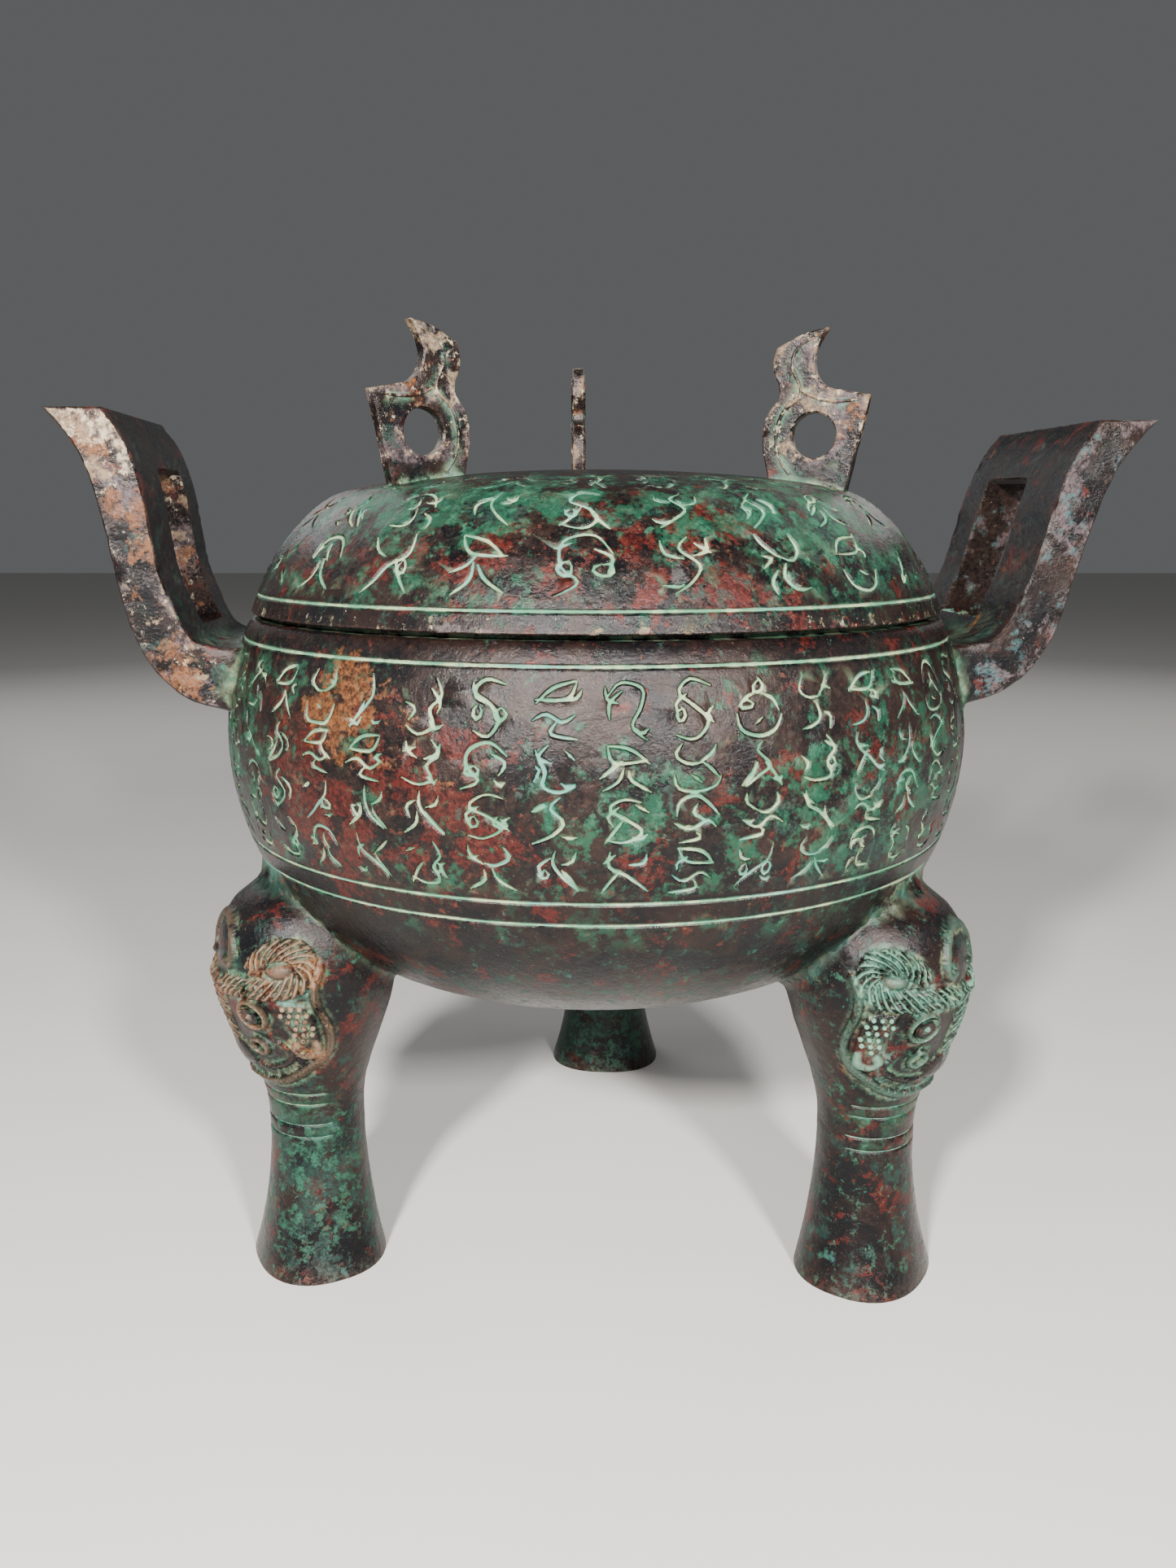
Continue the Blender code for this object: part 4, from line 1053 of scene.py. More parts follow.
def rolled(flat, relief):
    """Points of a leg at +X from its unrolled surface, with the shares of shin lines and of crests."""
    centre, depth, width, power = np.array([leg_section(height) for height in flat[:, 1]]).T
    angle = flat[:, 0] / (KNEE_WIDTH / 2)
    radius = ((np.abs(np.cos(angle)) / depth) ** power
              + (np.abs(np.sin(angle)) / width) ** power) ** (-1 / power)
    drawing = np.column_stack([angle * width / MASK_SIZE, (flat[:, 1] - MASK_BASE_HEIGHT) / MASK_SIZE])
    carved, crests = mask_relief(drawing, relief)
    line = np.max([np.clip(1 - np.abs(flat[:, 1] - height) / SHIN_LINE_HALF_WIDTH, 0.0, 1.0)
                   for height in SHIN_LINE_HEIGHTS], axis=0)
    line *= np.clip((SHIN_LINE_REACH - np.abs(angle * width)) / 0.004, 0.0, 1.0)
    radius += carved - SHIN_LINE_DEPTH * line
    place = np.column_stack([centre + radius * np.cos(angle), radius * np.sin(angle), flat[:, 1]])
    return place, line, crests


def shin_levels(step):
    """Heights of the leg's rings: even steps, with three rings for each shin line."""
    levels = list(np.linspace(0.0, LEG_TOP_HEIGHT, int(LEG_TOP_HEIGHT / step) + 1))
    levels += [height + offset for height in SHIN_LINE_HEIGHTS
               for offset in (-SHIN_LINE_HALF_WIDTH, 0.0, SHIN_LINE_HALF_WIDTH)]
    levels = sorted(set(round(level, 7) for level in levels))
    kept = [levels[0]]
    for level in levels[1:]:
        on_line = any(abs(level - height) < 0.0009 for height in SHIN_LINE_HEIGHTS)
        if level - kept[-1] > 0.0011 or on_line or level == levels[-1]:
            kept.append(level)
    return kept


def make_leg(relief):
    """A carved leg at +X."""
    half_turn = math.pi * KNEE_WIDTH / 2
    points, edges = [], []
    across = int(2 * half_turn / relief.leg_step)
    for level in shin_levels(relief.leg_step):
        v = (level - MASK_BASE_HEIGHT) / MASK_SIZE
        for column in range(across + 1):
            x = half_turn * (2 * column / across - 1)
            u = x / (KNEE_WIDTH / 2) * leg_section(level)[2] / MASK_SIZE
            if abs(u) > MASK_SIDE or not MASK_FOOT < v < MASK_TOP:
                points.append((x, level))
    count = int(2 * MASK_SIDE * MASK_SIZE / relief.mask_step)
    rows = int((MASK_TOP - MASK_FOOT) * MASK_SIZE / relief.mask_step / 0.9)
    edge = MASK_SIDE - 0.01
    for row in range(rows + 1):
        v = MASK_FOOT + (MASK_TOP - MASK_FOOT) * row / rows
        for column in range(count + 1):
            u = -edge + 2 * edge * (column + (0.5 if row % 2 else 0.0)) / (count + 0.5)
            points.append(unrolled((u, v)))
    for line in mask_lines():
        for side in (-1, 1):
            add_line(points, edges, [unrolled((side * u, v)) for u, v in line])
    flat, faces = triangulated(points, edges, 0.00028)
    place, line, crests = rolled(flat, relief)
    shape = bmesh.new()
    for name in ("stroke", "trim"):
        shape.verts.layers.float.new(name)
    stroke, trim = (shape.verts.layers.float[name] for name in ("stroke", "trim"))
    made = [shape.verts.new(point) for point in place]
    for face in faces:
        shape.faces.new([made[index] for index in face])
    for index, vertex in enumerate(made):
        vertex[stroke] = 0.62 * line[index]
        vertex[trim] = crests[index]
    bmesh.ops.remove_doubles(shape, verts=shape.verts, dist=0.00002)
    bmesh.ops.holes_fill(shape, edges=[edge for edge in shape.edges if edge.is_boundary])
    bmesh.ops.triangulate(shape, faces=[face for face in shape.faces if len(face.verts) > 4])
    bmesh.ops.recalc_face_normals(shape, faces=shape.faces)
    mesh = bpy.data.meshes.new("leg")
    shape.to_mesh(mesh)
    shape.free()
    return mesh


def bead_tree(material):
    """Geometry Nodes that set a bead on every point, turned along the point's lie."""
    tree = bpy.data.node_groups.new("beads", "GeometryNodeTree")
    tree.interface.new_socket("Geometry", in_out="INPUT", socket_type="NodeSocketGeometry")
    radius = tree.interface.new_socket("Radius", in_out="INPUT", socket_type="NodeSocketFloat")
    tree.interface.new_socket("Geometry", in_out="OUTPUT", socket_type="NodeSocketGeometry")
    entry = node(tree, "NodeGroupInput")
    bead = node(tree, "GeometryNodeMeshUVSphere",
                {"Segments": 6, "Rings": 4, "Radius": entry.outputs["Radius"]})
    lie = node(tree, "GeometryNodeInputNamedAttribute", {"Name": "lie"}, data_type="FLOAT_VECTOR")
    turn = node(tree, "FunctionNodeAlignRotationToVector", {"Vector": lie.outputs["Attribute"]}, axis="Z")
    spread = node(tree, "GeometryNodeInstanceOnPoints",
                  {"Points": entry.outputs["Geometry"], "Instance": bead.outputs["Mesh"],
                   "Rotation": turn.outputs["Rotation"]})
    real = node(tree, "GeometryNodeRealizeInstances", {"Geometry": spread.outputs["Instances"]})
    coat = node(tree, "GeometryNodeSetMaterial",
                {"Geometry": real.outputs["Geometry"], "Material": material})
    node(tree, "NodeGroupOutput", {"Geometry": coat.outputs["Geometry"]})
    return tree, radius.identifier


def make_cheek_beads(relief, material):
    """Beads on both cheeks of the leg at +X, as one plain mesh."""
    beads = np.array([(BEAD_FOOT[0] + BEAD_PITCH[0] * column + BEAD_SHIFT * (row % 2),
                       BEAD_FOOT[1] + BEAD_PITCH[1] * row) for row in range(8) for column in range(5)])
    edge = line_distance(beads, CHEEK_OUTLINE + CHEEK_OUTLINE[:1])
    curl = line_distance(beads, rounded(CURL_PATH, 3))
    beads = beads[within(beads, [CHEEK_OUTLINE]) & (edge > 0.020) & (curl > 0.050)]
    drawing = np.vstack([beads * (-1, 1), beads])
    place = rolled(np.array([unrolled(point) for point in drawing]), relief)[0]
    lie = np.column_stack([place[:, 0] - LEG_RADIUS, place[:, 1], np.zeros(len(place))])
    lie /= np.hypot(lie[:, 0], lie[:, 1])[:, None]
    seeds = mesh_object("cheek_bead_seeds", place + lie * BEAD_LIFT, [])
    attribute = seeds.data.attributes.new("lie", "FLOAT_VECTOR", "POINT")
    attribute.data.foreach_set("vector", np.asarray(lie, np.float32).ravel())
    modifier = seeds.modifiers.new("Set on points", "NODES")
    modifier.node_group, radius_socket = bead_tree(material)
    modifier[radius_socket] = relief.bead_radius
    item = add_object("cheek_beads", plain_mesh(seeds))
    seeds.modifiers.remove(modifier)
    bpy.data.objects.remove(seeds, do_unlink=True)
    store(item, "trim", np.ones(len(item.data.vertices)))
    return item


def combine(item, others, operation):
    """Join a solid with others, or cut it by them, and remove them."""
    for other in others:
        modifier = item.modifiers.new("Shape", "BOOLEAN")
        modifier.operation = operation
        modifier.solver = "MANIFOLD"
        modifier.object = other
        mesh = plain_mesh(item)
        item.modifiers.remove(modifier)
        old, item.data = item.data, mesh
        bpy.data.meshes.remove(old)
        bpy.data.objects.remove(other, do_unlink=True)


def height_on(profile, radius):
    """Height of a profile that falls outwards, at a radius."""
    return float(np.interp(radius, [r for r, _ in profile], [z for _, z in profile]))


def knob_outline(dome):
    """Outline of a knob's plate round its ring's centre, X outwards and Y up."""
    shares = [(-0.248, 0.267, False), (-0.293, 0.467, False), (-0.268, 0.574, True),
              (-0.120, 0.648, False), (0.074, 0.693, True), (-0.002, 0.548, False),
              (-0.010, 0.471, False), (0.059, 0.334, False), (0.213, 0.285, False),
              (0.373, 0.254, True)]
    points = [(x * KNOB_HEIGHT, y * KNOB_HEIGHT, corner) for x, y, corner in shares]
    centre = height_on(dome, KNOB_RADIUS) + KNOB_RING_RISE
    for x in (0.230, -0.300):
        reach = x * KNOB_HEIGHT
        points.append((reach, height_on(dome, KNOB_RADIUS + reach) - KNOB_ROOT - centre, True))
    return points + [(-0.356 * KNOB_HEIGHT, -0.014 * KNOB_HEIGHT, False),
                     (-0.328 * KNOB_HEIGHT, 0.133 * KNOB_HEIGHT, False)]


def make_knob(index, dome):
    """One knob's plate with the raised ribs on both of its faces."""
    outline = curve_outline(knob_outline(dome), 7)
    hole = [tuple(point) for point in circle((0.0, 0.0), (KNOB_HOLE_RADIUS, KNOB_HOLE_RADIUS), 28)[:-1]]
    plate = slab(f"knob_{index}", [outline, hole], KNOB_THICKNESS, KNOB_EDGE, 0.0017, 0.0013)
    level = KNOB_THICKNESS / 2 - RIB_SINK
    ribs = []
    for side in (-1, 1):
        for path in RIB_PATHS:
            line = spaced(rounded(path, 4), 0.03) * KNOB_HEIGHT
            ribs.append(tube(f"rib_{index}", [(x, y, side * level) for x, y in line], RIB_RADIUS))
    combine(plate, ribs, "UNION")
    turn = math.radians(KNOB_TURNS[index])
    place = Matrix.Translation((KNOB_RADIUS * math.cos(turn) + KNOB_RING_OFFSET,
                                KNOB_RADIUS * math.sin(turn),
                                height_on(dome, KNOB_RADIUS) + KNOB_RING_RISE))
    twist = Matrix.Rotation(turn + math.radians(KNOB_TWISTS[index]), 4, "Z")
    plate.data.transform(place @ twist @ Matrix.Rotation(math.pi / 2, 4, "X"))
    return plate


def tube(name, path, radius, sides=8):
    """A closed round tube along a path, with pointed ends."""
    points = [Vector(point) for point in path]
    vertices, faces = [], []
    for index, point in enumerate(points):
        along = (points[min(index + 1, len(points) - 1)] - points[max(index - 1, 0)]).normalized()
        across = along.cross(Vector((0.0, 0.0, 1.0))).normalized()
        other = along.cross(across)
        share = index / (len(points) - 1)
        size = radius * max(math.sin(math.pi * share) ** 0.3, 0.25)
        for side in range(sides):
            turn = 2 * math.pi * side / sides
            vertices.append(point + across * size * math.cos(turn) + other * size * math.sin(turn))
    for ring in range(len(points) - 1):
        for side in range(sides):
            a, b = ring * sides + side, ring * sides + (side + 1) % sides
            faces.append((a, b, b + sides, a + sides))
    faces.append(tuple(range(sides)))
    faces.append(tuple(range(len(vertices) - sides, len(vertices)))[::-1])
    return tidy(mesh_object(name, vertices, faces))


def make_dome(settings):
    """The lid's outside with its groove and rows of strokes, as a closed solid."""
    curve = lid_curve(40)
    profile = np.array(curve[::-1])
    arc = run_along(profile)
    normals = np.gradient(profile, axis=0)
    normals = np.column_stack([normals[:, 1], -normals[:, 0]]) / np.hypot(*normals.T)[:, None]

    def along(distance, share=0.0):
        cut = settings.depth * share ** STROKE_POWER
        return tuple(float(np.interp(distance, arc, profile[:, axis])
                           - np.interp(distance, arc, normals[:, axis]) * cut) for axis in (0, 1))

    def at_radius(radius):
        return float(np.interp(-radius, -profile[:, 0], arc))

    groove = float(np.interp(LID_EDGE_HEIGHT + LID_GROOVE_ABOVE_EDGE, profile[:, 1], arc))
    edge = GROOVE_HALF_WIDTH + GROOVE_MARGIN
    rows = [(at_radius(outer), at_radius(inner)) for outer, inner in LID_ROW_RADII]
    signs = make_signs(random.Random(23), settings.lid_columns, rows, LID_SCALE, LID_PHASE, LID_SIGN_WIDTH,
                       settings)
    strip = incised_strip(groove + edge + STRIP_GAP, at_radius(LID_BAND_INNER_RADIUS), settings.ring_columns,
                          LID_SCALE, signs, settings)
    above = [(0.0, curve[0][1])]
    above += [point for point in curve if 0.004 < point[0] < LID_BAND_INNER_RADIUS - 0.004][::3]
    middle = along(groove)
    below = [along(groove + edge), along(groove + GROOVE_HALF_WIDTH),
             (middle[0] - GROOVE_DEPTH, middle[1], 1.0), along(groove - GROOVE_HALF_WIDTH),
             along(groove - edge), along(0.0012), (LID_RADIUS - 0.0001, LID_EDGE_HEIGHT + 0.0004),
             (LID_RADIUS - LIP_SOFTNESS, LID_EDGE_HEIGHT), (LID_RADIUS * 0.6, LID_EDGE_HEIGHT),
             (0.0, LID_EDGE_HEIGHT)]
    return banded_solid("dome", above, strip, below, settings.ring_columns, LID_SCALE, along)


def lid_hollow_profile():
    """Profile of the hollow under the lid, with the ledge that rests on the bowl's lip."""
    skirt = LIP_RADIUS + LIP_CLEARANCE
    ledge = MOUTH_RADIUS - LIP_CLEARANCE
    below = LID_EDGE_HEIGHT - LIP_HEIGHT
    roof = [point for point in inset(lid_curve(16), LID_WALL)
            if point[0] < ledge and point[1] > LEDGE_HEIGHT]
    roof[0] = (0.0, LID_EDGE_HEIGHT + LID_RISE - LID_WALL)
    return roof + [(ledge, LEDGE_HEIGHT), (skirt, LEDGE_HEIGHT), (skirt, below), (0.0, below)]


def read_points(item):
    """Positions and normals of a mesh's points."""
    mesh = item.data
    place = np.zeros(len(mesh.vertices) * 3, np.float32)
    normal = np.zeros_like(place)
    mesh.vertices.foreach_get("co", place)
    mesh.vertex_normals.foreach_get("vector", normal)
    return place.reshape(-1, 3).astype(float), normal.reshape(-1, 3).astype(float)


def stored(item, name):
    """The numbers kept on a mesh's points, or zeros."""
    values = np.zeros(len(item.data.vertices), np.float32)
    attribute = item.data.attributes.get(name)
    if attribute is not None:
        attribute.data.foreach_get("value", values)
    return values.astype(float)


def edge_pairs(item):
    """The two points of each edge of a mesh."""
    pairs = np.zeros(len(item.data.edges) * 2, np.int32)
    item.data.edges.foreach_get("vertices", pairs)
    return pairs.reshape(-1, 2)


def spread_out(values, pairs, rounds):
    """Average a value over the mesh's neighbouring points a number of times."""
    values = np.asarray(values, float)
    count = np.bincount(pairs.ravel(), minlength=len(values)) + 1.0
    shape = (-1,) + (1,) * (values.ndim - 1)
    for _ in range(rounds):
        total = values.copy()
        np.add.at(total, pairs[:, 0], values[pairs[:, 1]])
        np.add.at(total, pairs[:, 1], values[pairs[:, 0]])
        values = total / count.reshape(shape)
    return values


def bend(place, normal, pairs):
    """How hollow (above 0) or edged (below 0) the surface is at each point."""
    along = place[pairs[:, 1]] - place[pairs[:, 0]]
    along /= np.maximum(np.linalg.norm(along, axis=1), 1e-9)[:, None]
    total = np.zeros(len(place))
    np.add.at(total, pairs[:, 0], (normal[pairs[:, 0]] * along).sum(1))
    np.add.at(total, pairs[:, 1], -(normal[pairs[:, 1]] * along).sum(1))
    return total / np.maximum(np.bincount(pairs.ravel(), minlength=len(place)), 1)


def write_points(item, place):
    """Put a mesh's points in new places."""
    item.data.vertices.foreach_set("co", np.asarray(place, np.float32).ravel())
    item.data.update()


def soften(item, near, rounds):
    """Round the creases where limbs leave the bowl, within a distance of its outside."""
    place, normal = read_points(item)
    outside = np.array([(belly_radius(z), z) for z in np.linspace(EDGE_HEIGHT, SHOULDER_HEIGHT, 30)]
                       + bottom_profile(40))
    spots = np.column_stack([np.hypot(place[:, 0] - AXIS.x, place[:, 1] - AXIS.y), place[:, 2]])
    gap = np.concatenate([np.hypot(*(part[:, None] - outside[None]).transpose(2, 0, 1)).min(1)
                          for part in np.array_split(spots, 40)])
    pairs = edge_pairs(item)
    crease = (gap < near) & (bend(place, normal, pairs) > 0.16) & (spots[:, 1] < SHOULDER_HEIGHT - 0.001)
    crease &= stored(item, "stroke") < 0.01
    weight = np.clip(spread_out(crease.astype(float), pairs, 3) * 2.2, 0.0, 1.0)
    for _ in range(rounds):
        place += (spread_out(place, pairs, 1) - place) * weight[:, None]
    write_points(item, place)


def roughen(item, still, coarse, fine):
    """Sink the points by a little cast unevenness, where they aren't still."""
    place, normal = read_points(item)
    change = np.zeros(len(place))
    for index, point in enumerate(place):
        spot = Vector(point)
        change[index] = (coarse * noise.noise(spot * 38.0)
                         + fine[index] * noise.fractal(spot * 210.0, 0.7, 2.1, 3))
    write_points(item, place - normal * (np.abs(change) * (1 - still))[:, None])


def keep_bend(item, strokes):
    """Keep where the surface is hollow and where it is worn, and the strokes' surroundings."""
    place, normal = read_points(item)
    pairs = edge_pairs(item)
    amount = spread_out(bend(place, normal, pairs), pairs, 1)
    store(item, "hollow", np.clip(amount * 4.0, 0.0, 1.0))
    store(item, "worn", np.clip(-amount * 3.2 - 0.1, 0.0, 1.0))
    store(item, "halo", np.clip(spread_out(strokes, pairs, 5) * 3.0, 0.0, 1.0))


def blob(place, azimuth, height, spread, rise):
    """Weight of a soft patch on the turned surfaces, by azimuth from the front and by height."""
    turn = np.degrees(np.arctan2(place[:, 0] - AXIS.x, -(place[:, 1] - AXIS.y)))
    gap = (turn - azimuth + 180) % 360 - 180
    return np.exp(-(gap / spread) ** 2 - ((place[:, 2] - height) / rise) ** 2)


def node(tree, kind, inputs=None, **values):
    """Add a shader node; inputs maps socket names or numbers to values or to other sockets."""
    item = tree.nodes.new(kind)
    for name, value in values.items():
        setattr(item, name, value)
    for key, value in (inputs or {}).items():
        if isinstance(value, bpy.types.NodeSocket):
            tree.links.new(value, item.inputs[key])
        else:
            item.inputs[key].default_value = value
    return item


def noise_value(tree, place, scale, detail, roughness, distortion=0.0):
    """A noise with values from 0 to 1."""
    return node(tree, "ShaderNodeTexNoise", {"Vector": place, "Scale": scale, "Detail": detail,
                                             "Roughness": roughness, "Distortion": distortion}).outputs["Fac"]


def ranged(tree, value, low, high, to_low=0.0, to_high=1.0, kind="LINEAR"):
    """A number's span from low to high brought to another span, and held inside it."""
    return node(tree, "ShaderNodeMapRange", {"Value": value, "From Min": low, "From Max": high,
                                             "To Min": to_low, "To Max": to_high},
                interpolation_type=kind).outputs["Result"]


def times_plus(tree, value, weight, other):
    """A number times a weight, plus another number."""
    return node(tree, "ShaderNodeMath", {0: value, 1: weight, 2: other},
                operation="MULTIPLY_ADD").outputs[0]


def noise_mask(tree, place, scale, low, high, extra=None, weight=0.0, detail=5.0, distortion=0.0):
    """A patchy mask from 0 to 1; an attribute's value can favour or hold back the patches."""
    value = noise_value(tree, place, scale, detail, 0.72, distortion)
    if extra is not None:
        value = times_plus(tree, extra, weight, value)
    return ranged(tree, value, low, high, kind="SMOOTHSTEP")


def mixed(tree, factor, first, second, colour=True):
    """Mix two colours or two numbers."""
    item = tree.nodes.new("ShaderNodeMix")
    item.data_type = "RGBA" if colour else "FLOAT"
    sockets = [s for s in item.inputs if s.type == ("RGBA" if colour else "VALUE") and s.name in ("A", "B")]
    tree.links.new(factor, item.inputs["Factor"])
    for socket, value in zip(sockets, (first, second)):
        if isinstance(value, bpy.types.NodeSocket):
            tree.links.new(value, socket)
        else:
            socket.default_value = (*value, 1.0) if colour else value
    return next(s for s in item.outputs if s.type == ("RGBA" if colour else "VALUE"))


def share(tree, amount, *factors):
    """The product of numbers, held between 0 and 1."""
    for factor in factors:
        amount = node(tree, "ShaderNodeMath", {0: amount, 1: factor}, operation="MULTIPLY",
                      use_clamp=True).outputs[0]
    return amount


def patina(name, colours):
    """Dark satin bronze under red oxide, greens, azurite, lime crust and pale deposit in the strokes."""
    material = bpy.data.materials.new(name)
    material.use_nodes = True
    tree = material.node_tree
    shader = tree.nodes["Principled BSDF"]
    place = node(tree, "ShaderNodeTexCoord").outputs["Object"]

    def kept(attribute):
        return node(tree, "ShaderNodeAttribute", attribute_name=attribute).outputs["Fac"]

    grain = noise_value(tree, place, 620.0, 4.0, 0.75)
    grit = ranged(tree, grain, 0.40, 0.60)
    mottle = ranged(tree, grit, 0.0, 1.0, 0.25, 1.0)
    ground = noise_mask(tree, place, 46.0, 0.42, 0.60, distortion=0.5)
    colour = mixed(tree, ground, tuple(colours.soot), tuple(colours.bronze))
    rough = mixed(tree, ground, 0.24, 0.33, False)
    for attribute, coat, scale, low, high, weight, coat_rough, strength in PATINA_LAYERS:
        mask = noise_mask(tree, place, scale, low, high, kept(attribute), weight, 8.0, 0.2)
        amount = share(tree, mask, mottle, strength)
        colour = mixed(tree, amount, colour, tuple(getattr(colours, coat)))
        rough = mixed(tree, amount, rough, coat_rough, False)
    halo = share(tree, kept("halo"), noise_mask(tree, place, 120.0, 0.60, 0.70, kept("green"), 0.14), 0.80)
    colour = mixed(tree, halo, colour, tuple(colours.malachite))
    black = share(tree, ranged(tree, kept("black"), 0.3, 0.6), noise_mask(tree, place, 160.0, 0.34, 0.44))
    colour = mixed(tree, black, colour, tuple(colours.soot))
    rough = mixed(tree, black, rough, 0.20, False)
    colour = mixed(tree, share(tree, kept("worn"), grit, 0.55), colour, tuple(colours.worn))
    dust = noise_mask(tree, place, 1100.0, 0.66, 0.76, detail=2.0)
    colour = mixed(tree, share(tree, dust, 0.30), colour, tuple(colours.crust))
    crumble = noise_value(tree, place, 260.0, 6.0, 0.7)
    fill = ranged(tree, times_plus(tree, crumble, 0.60, kept("stroke")), 0.74, 0.98, kind="SMOOTHSTEP")
    caught = noise_mask(tree, place, 130.0, 0.50, 0.62, kept("green"), 0.16)
    caught = share(tree, kept("hollow"), caught, 0.95)
    fill = node(tree, "ShaderNodeMath", {0: share(tree, fill, 0.92), 1: caught},
                operation="MAXIMUM").outputs[0]
    pale = noise_mask(tree, place, 85.0, 0.44, 0.60)
    cool = noise_mask(tree, place, 36.0, 0.52, 0.62, kept("azure"), 0.2)
    deposit = mixed(tree, pale, tuple(colours.deposit), tuple(colours.deposit_pale))
    deposit = mixed(tree, share(tree, cool, 0.6), deposit, tuple(colours.deposit_cool))
    colour = mixed(tree, fill, colour, deposit)
    rough = mixed(tree, fill, rough, 0.80, False)
    # Pale coat on the masks' crests and beads: partly patina, mint on the right masks and beige on the left,
    # and partly painted highlight.
    trim = share(tree, kept("trim"), noise_mask(tree, place, 110.0, 0.34, 0.47), 0.85)
    crest_colour_and_highlight = mixed(tree, kept("warm"), tuple(colours.crest_mint_and_highlight), tuple(colours.crest_beige_and_highlight))
    colour = mixed(tree, trim, colour, crest_colour_and_highlight)
    rough = mixed(tree, trim, rough, 0.60, False)
    metal = ranged(tree, rough, 0.30, 0.50, 0.35, 0.0)
    lumps = noise_value(tree, place, 170.0, 8.0, 0.68)
    height = times_plus(tree, rough, 0.8, times_plus(tree, lumps, 2.0, grain))
    bump = node(tree, "ShaderNodeBump", {"Height": height, "Strength": 0.5, "Distance": 0.00042})
    shader.inputs["Specular IOR Level"].default_value = 0.30
    for socket, value in (("Base Color", colour), ("Roughness", rough), ("Metallic", metal),
                          ("Normal", bump.outputs["Normal"])):
        tree.links.new(value, shader.inputs[socket])
    return material


def finish_piece(item, name, node_name, material):
    """Name a finished piece, coat it and set it on the frame in its node's place."""
    item.name = name
    item.data.name = name
    item.data.materials.clear()
    item.data.materials.append(material)
    for polygon in item.data.polygons:
        polygon.material_index = 0
    item.data.shade_smooth()
    item.data.set_sharp_from_angle(angle=math.radians(38))
    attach(item, "root")
    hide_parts(node_name)


class DING_OT_vessel(bpy.types.Operator):
    """Build the bowl with its strokes, ears and masked legs."""

    bl_idname = "ding.vessel"
    bl_label = "Build vessel"

    def execute(self, context):
        material = patina("vessel_patina", context.scene.ding_patina)
        relief = context.scene.ding_relief
        bowl = make_bowl(context.scene.ding_strokes)
        leg = make_leg(relief)
        beads = make_cheek_beads(relief, material)
        limbs = [make_ear(0), make_ear(1)]
        for index in range(3):
            turn = Matrix.Rotation(math.pi / 2 + LEG_TURN + 2 * math.pi * index / 3, 4, "Z")
            for name, mesh in (("leg", leg), ("beads", beads.data)):
                limb = add_object(f"{name}_{index}", mesh.copy())
                limb.data.transform(turn)
                limbs.append(limb)
        bpy.data.objects.remove(beads, do_unlink=True)
        combine(bowl, limbs, "UNION")
        cavity = turned("cavity", cavity_profile(), 120)
        combine(bowl, [cavity, make_slot(0), make_slot(1)], "DIFFERENCE")
        bowl.data.transform(Matrix.Translation((AXIS.x, AXIS.y, 0.0)))
        colour_vessel(bowl)
        finish_piece(bowl, "ding_vessel", "vessel", material)
        return {"FINISHED"}


def patches(place, spots):
    """Sum of the weights of soft patches."""
    return sum(weight * blob(place, *spot) for weight, *spot in spots)


def store_layers(item, layers):
    """Keep the patina's layers, each held between 0 and its most."""
    for name, (values, most) in layers.items():
        store(item, name, np.clip(values, 0.0, most))


def colour_vessel(item):
    """Mark where each layer of the vessel's patina gathers, and roughen the casting."""
    place, normal = read_points(item)
    out = np.hypot(place[:, 0] - AXIS.x, place[:, 1] - AXIS.y)
    height = place[:, 2]
    soften(item, 0.0035, 7)
    strokes = np.clip(stored(item, "stroke"), 0.0, 1.0)
    ears = ((out > BELLY_RADIUS + 0.001) & (height > 0.19)).astype(float)
    legs = np.clip((0.128 - height) / 0.01, 0.0, 1.0) * (out > 0.07) * (height < BOTTOM_HEIGHT + 0.035)
    side = ears * (np.abs(normal[:, 1]) > 0.6)
    left = (place[:, 0] < 0).astype(float)
    tip = np.clip((height - 0.255) / 0.03, 0.0, 1.0)
    still = np.clip(strokes * 3 + (height < 0.004) + (height > 0.289), 0.0, 1.0)
    roughen(item, still, 0.00035, 0.00010 + 0.00030 * ears + 0.00006 * legs)
    keep_bend(item, strokes)
    pairs = edge_pairs(item)
    trim = np.clip(stored(item, "trim"), 0.0, 1.0)
    near_trim = np.clip(spread_out(trim, pairs, 3) * 2.0, 0.0, 1.0)
    crease = (out < 0.122) & (height > 0.088) & (height < 0.150)
    store(item, "hollow", stored(item, "hollow") * (1 - 0.65 * near_trim) * (1 - 0.65 * crease))
    face = legs * np.clip(spread_out(near_trim, pairs, 6) * 1.5, 0.0, 1.0)
    rear_foot = blob(place, 180, 0.030, 40, 0.040) * legs
    green = 0.46 + patches(place, VESSEL_GREENS) + 0.55 * rear_foot - 0.30 * face
    green += legs * (0.16 + patches(place, FOOT_GREENS) + 0.25 * (height < 0.075))
    red = 0.52 + patches(place, VESSEL_REDS) + 0.14 * legs + 0.25 * face - 0.35 * rear_foot
    ochre = (patches(place, VESSEL_OCHRES) + 0.45 * ears * (1 - side) * (1 - left)
             + side * (0.35 + 0.35 * left) + 0.30 * legs + 0.60 * face * left)
    azure = (patches(place, VESSEL_AZURES) + side * (0.30 + 0.35 * (1 - left)) + 0.25 * ears * (1 - side)
             + (0.30 + 0.10 * left) * legs * (height < 0.06))
    store_layers(item, {
        "green": (green * (1 - 0.4 * side), 1.3),
        "red": (red * (1 - 0.2 * side), 1.3),
        "ochre": (ochre, 1.2),
        "azure": (azure, 1.2),
        "ash": (side * 0.62, 1.2),
        "crust": (side * (0.16 + 0.34 * left + 0.55 * left * tip) + 0.12 * ears, 1.3),
        "black": (patches(place, VESSEL_BLACKS) + near_trim * (1 - trim) * (0.72 - 0.42 * left), 1.0),
        "warm": (left, 1.0),
        "stroke": (strokes, 1.0),
    })


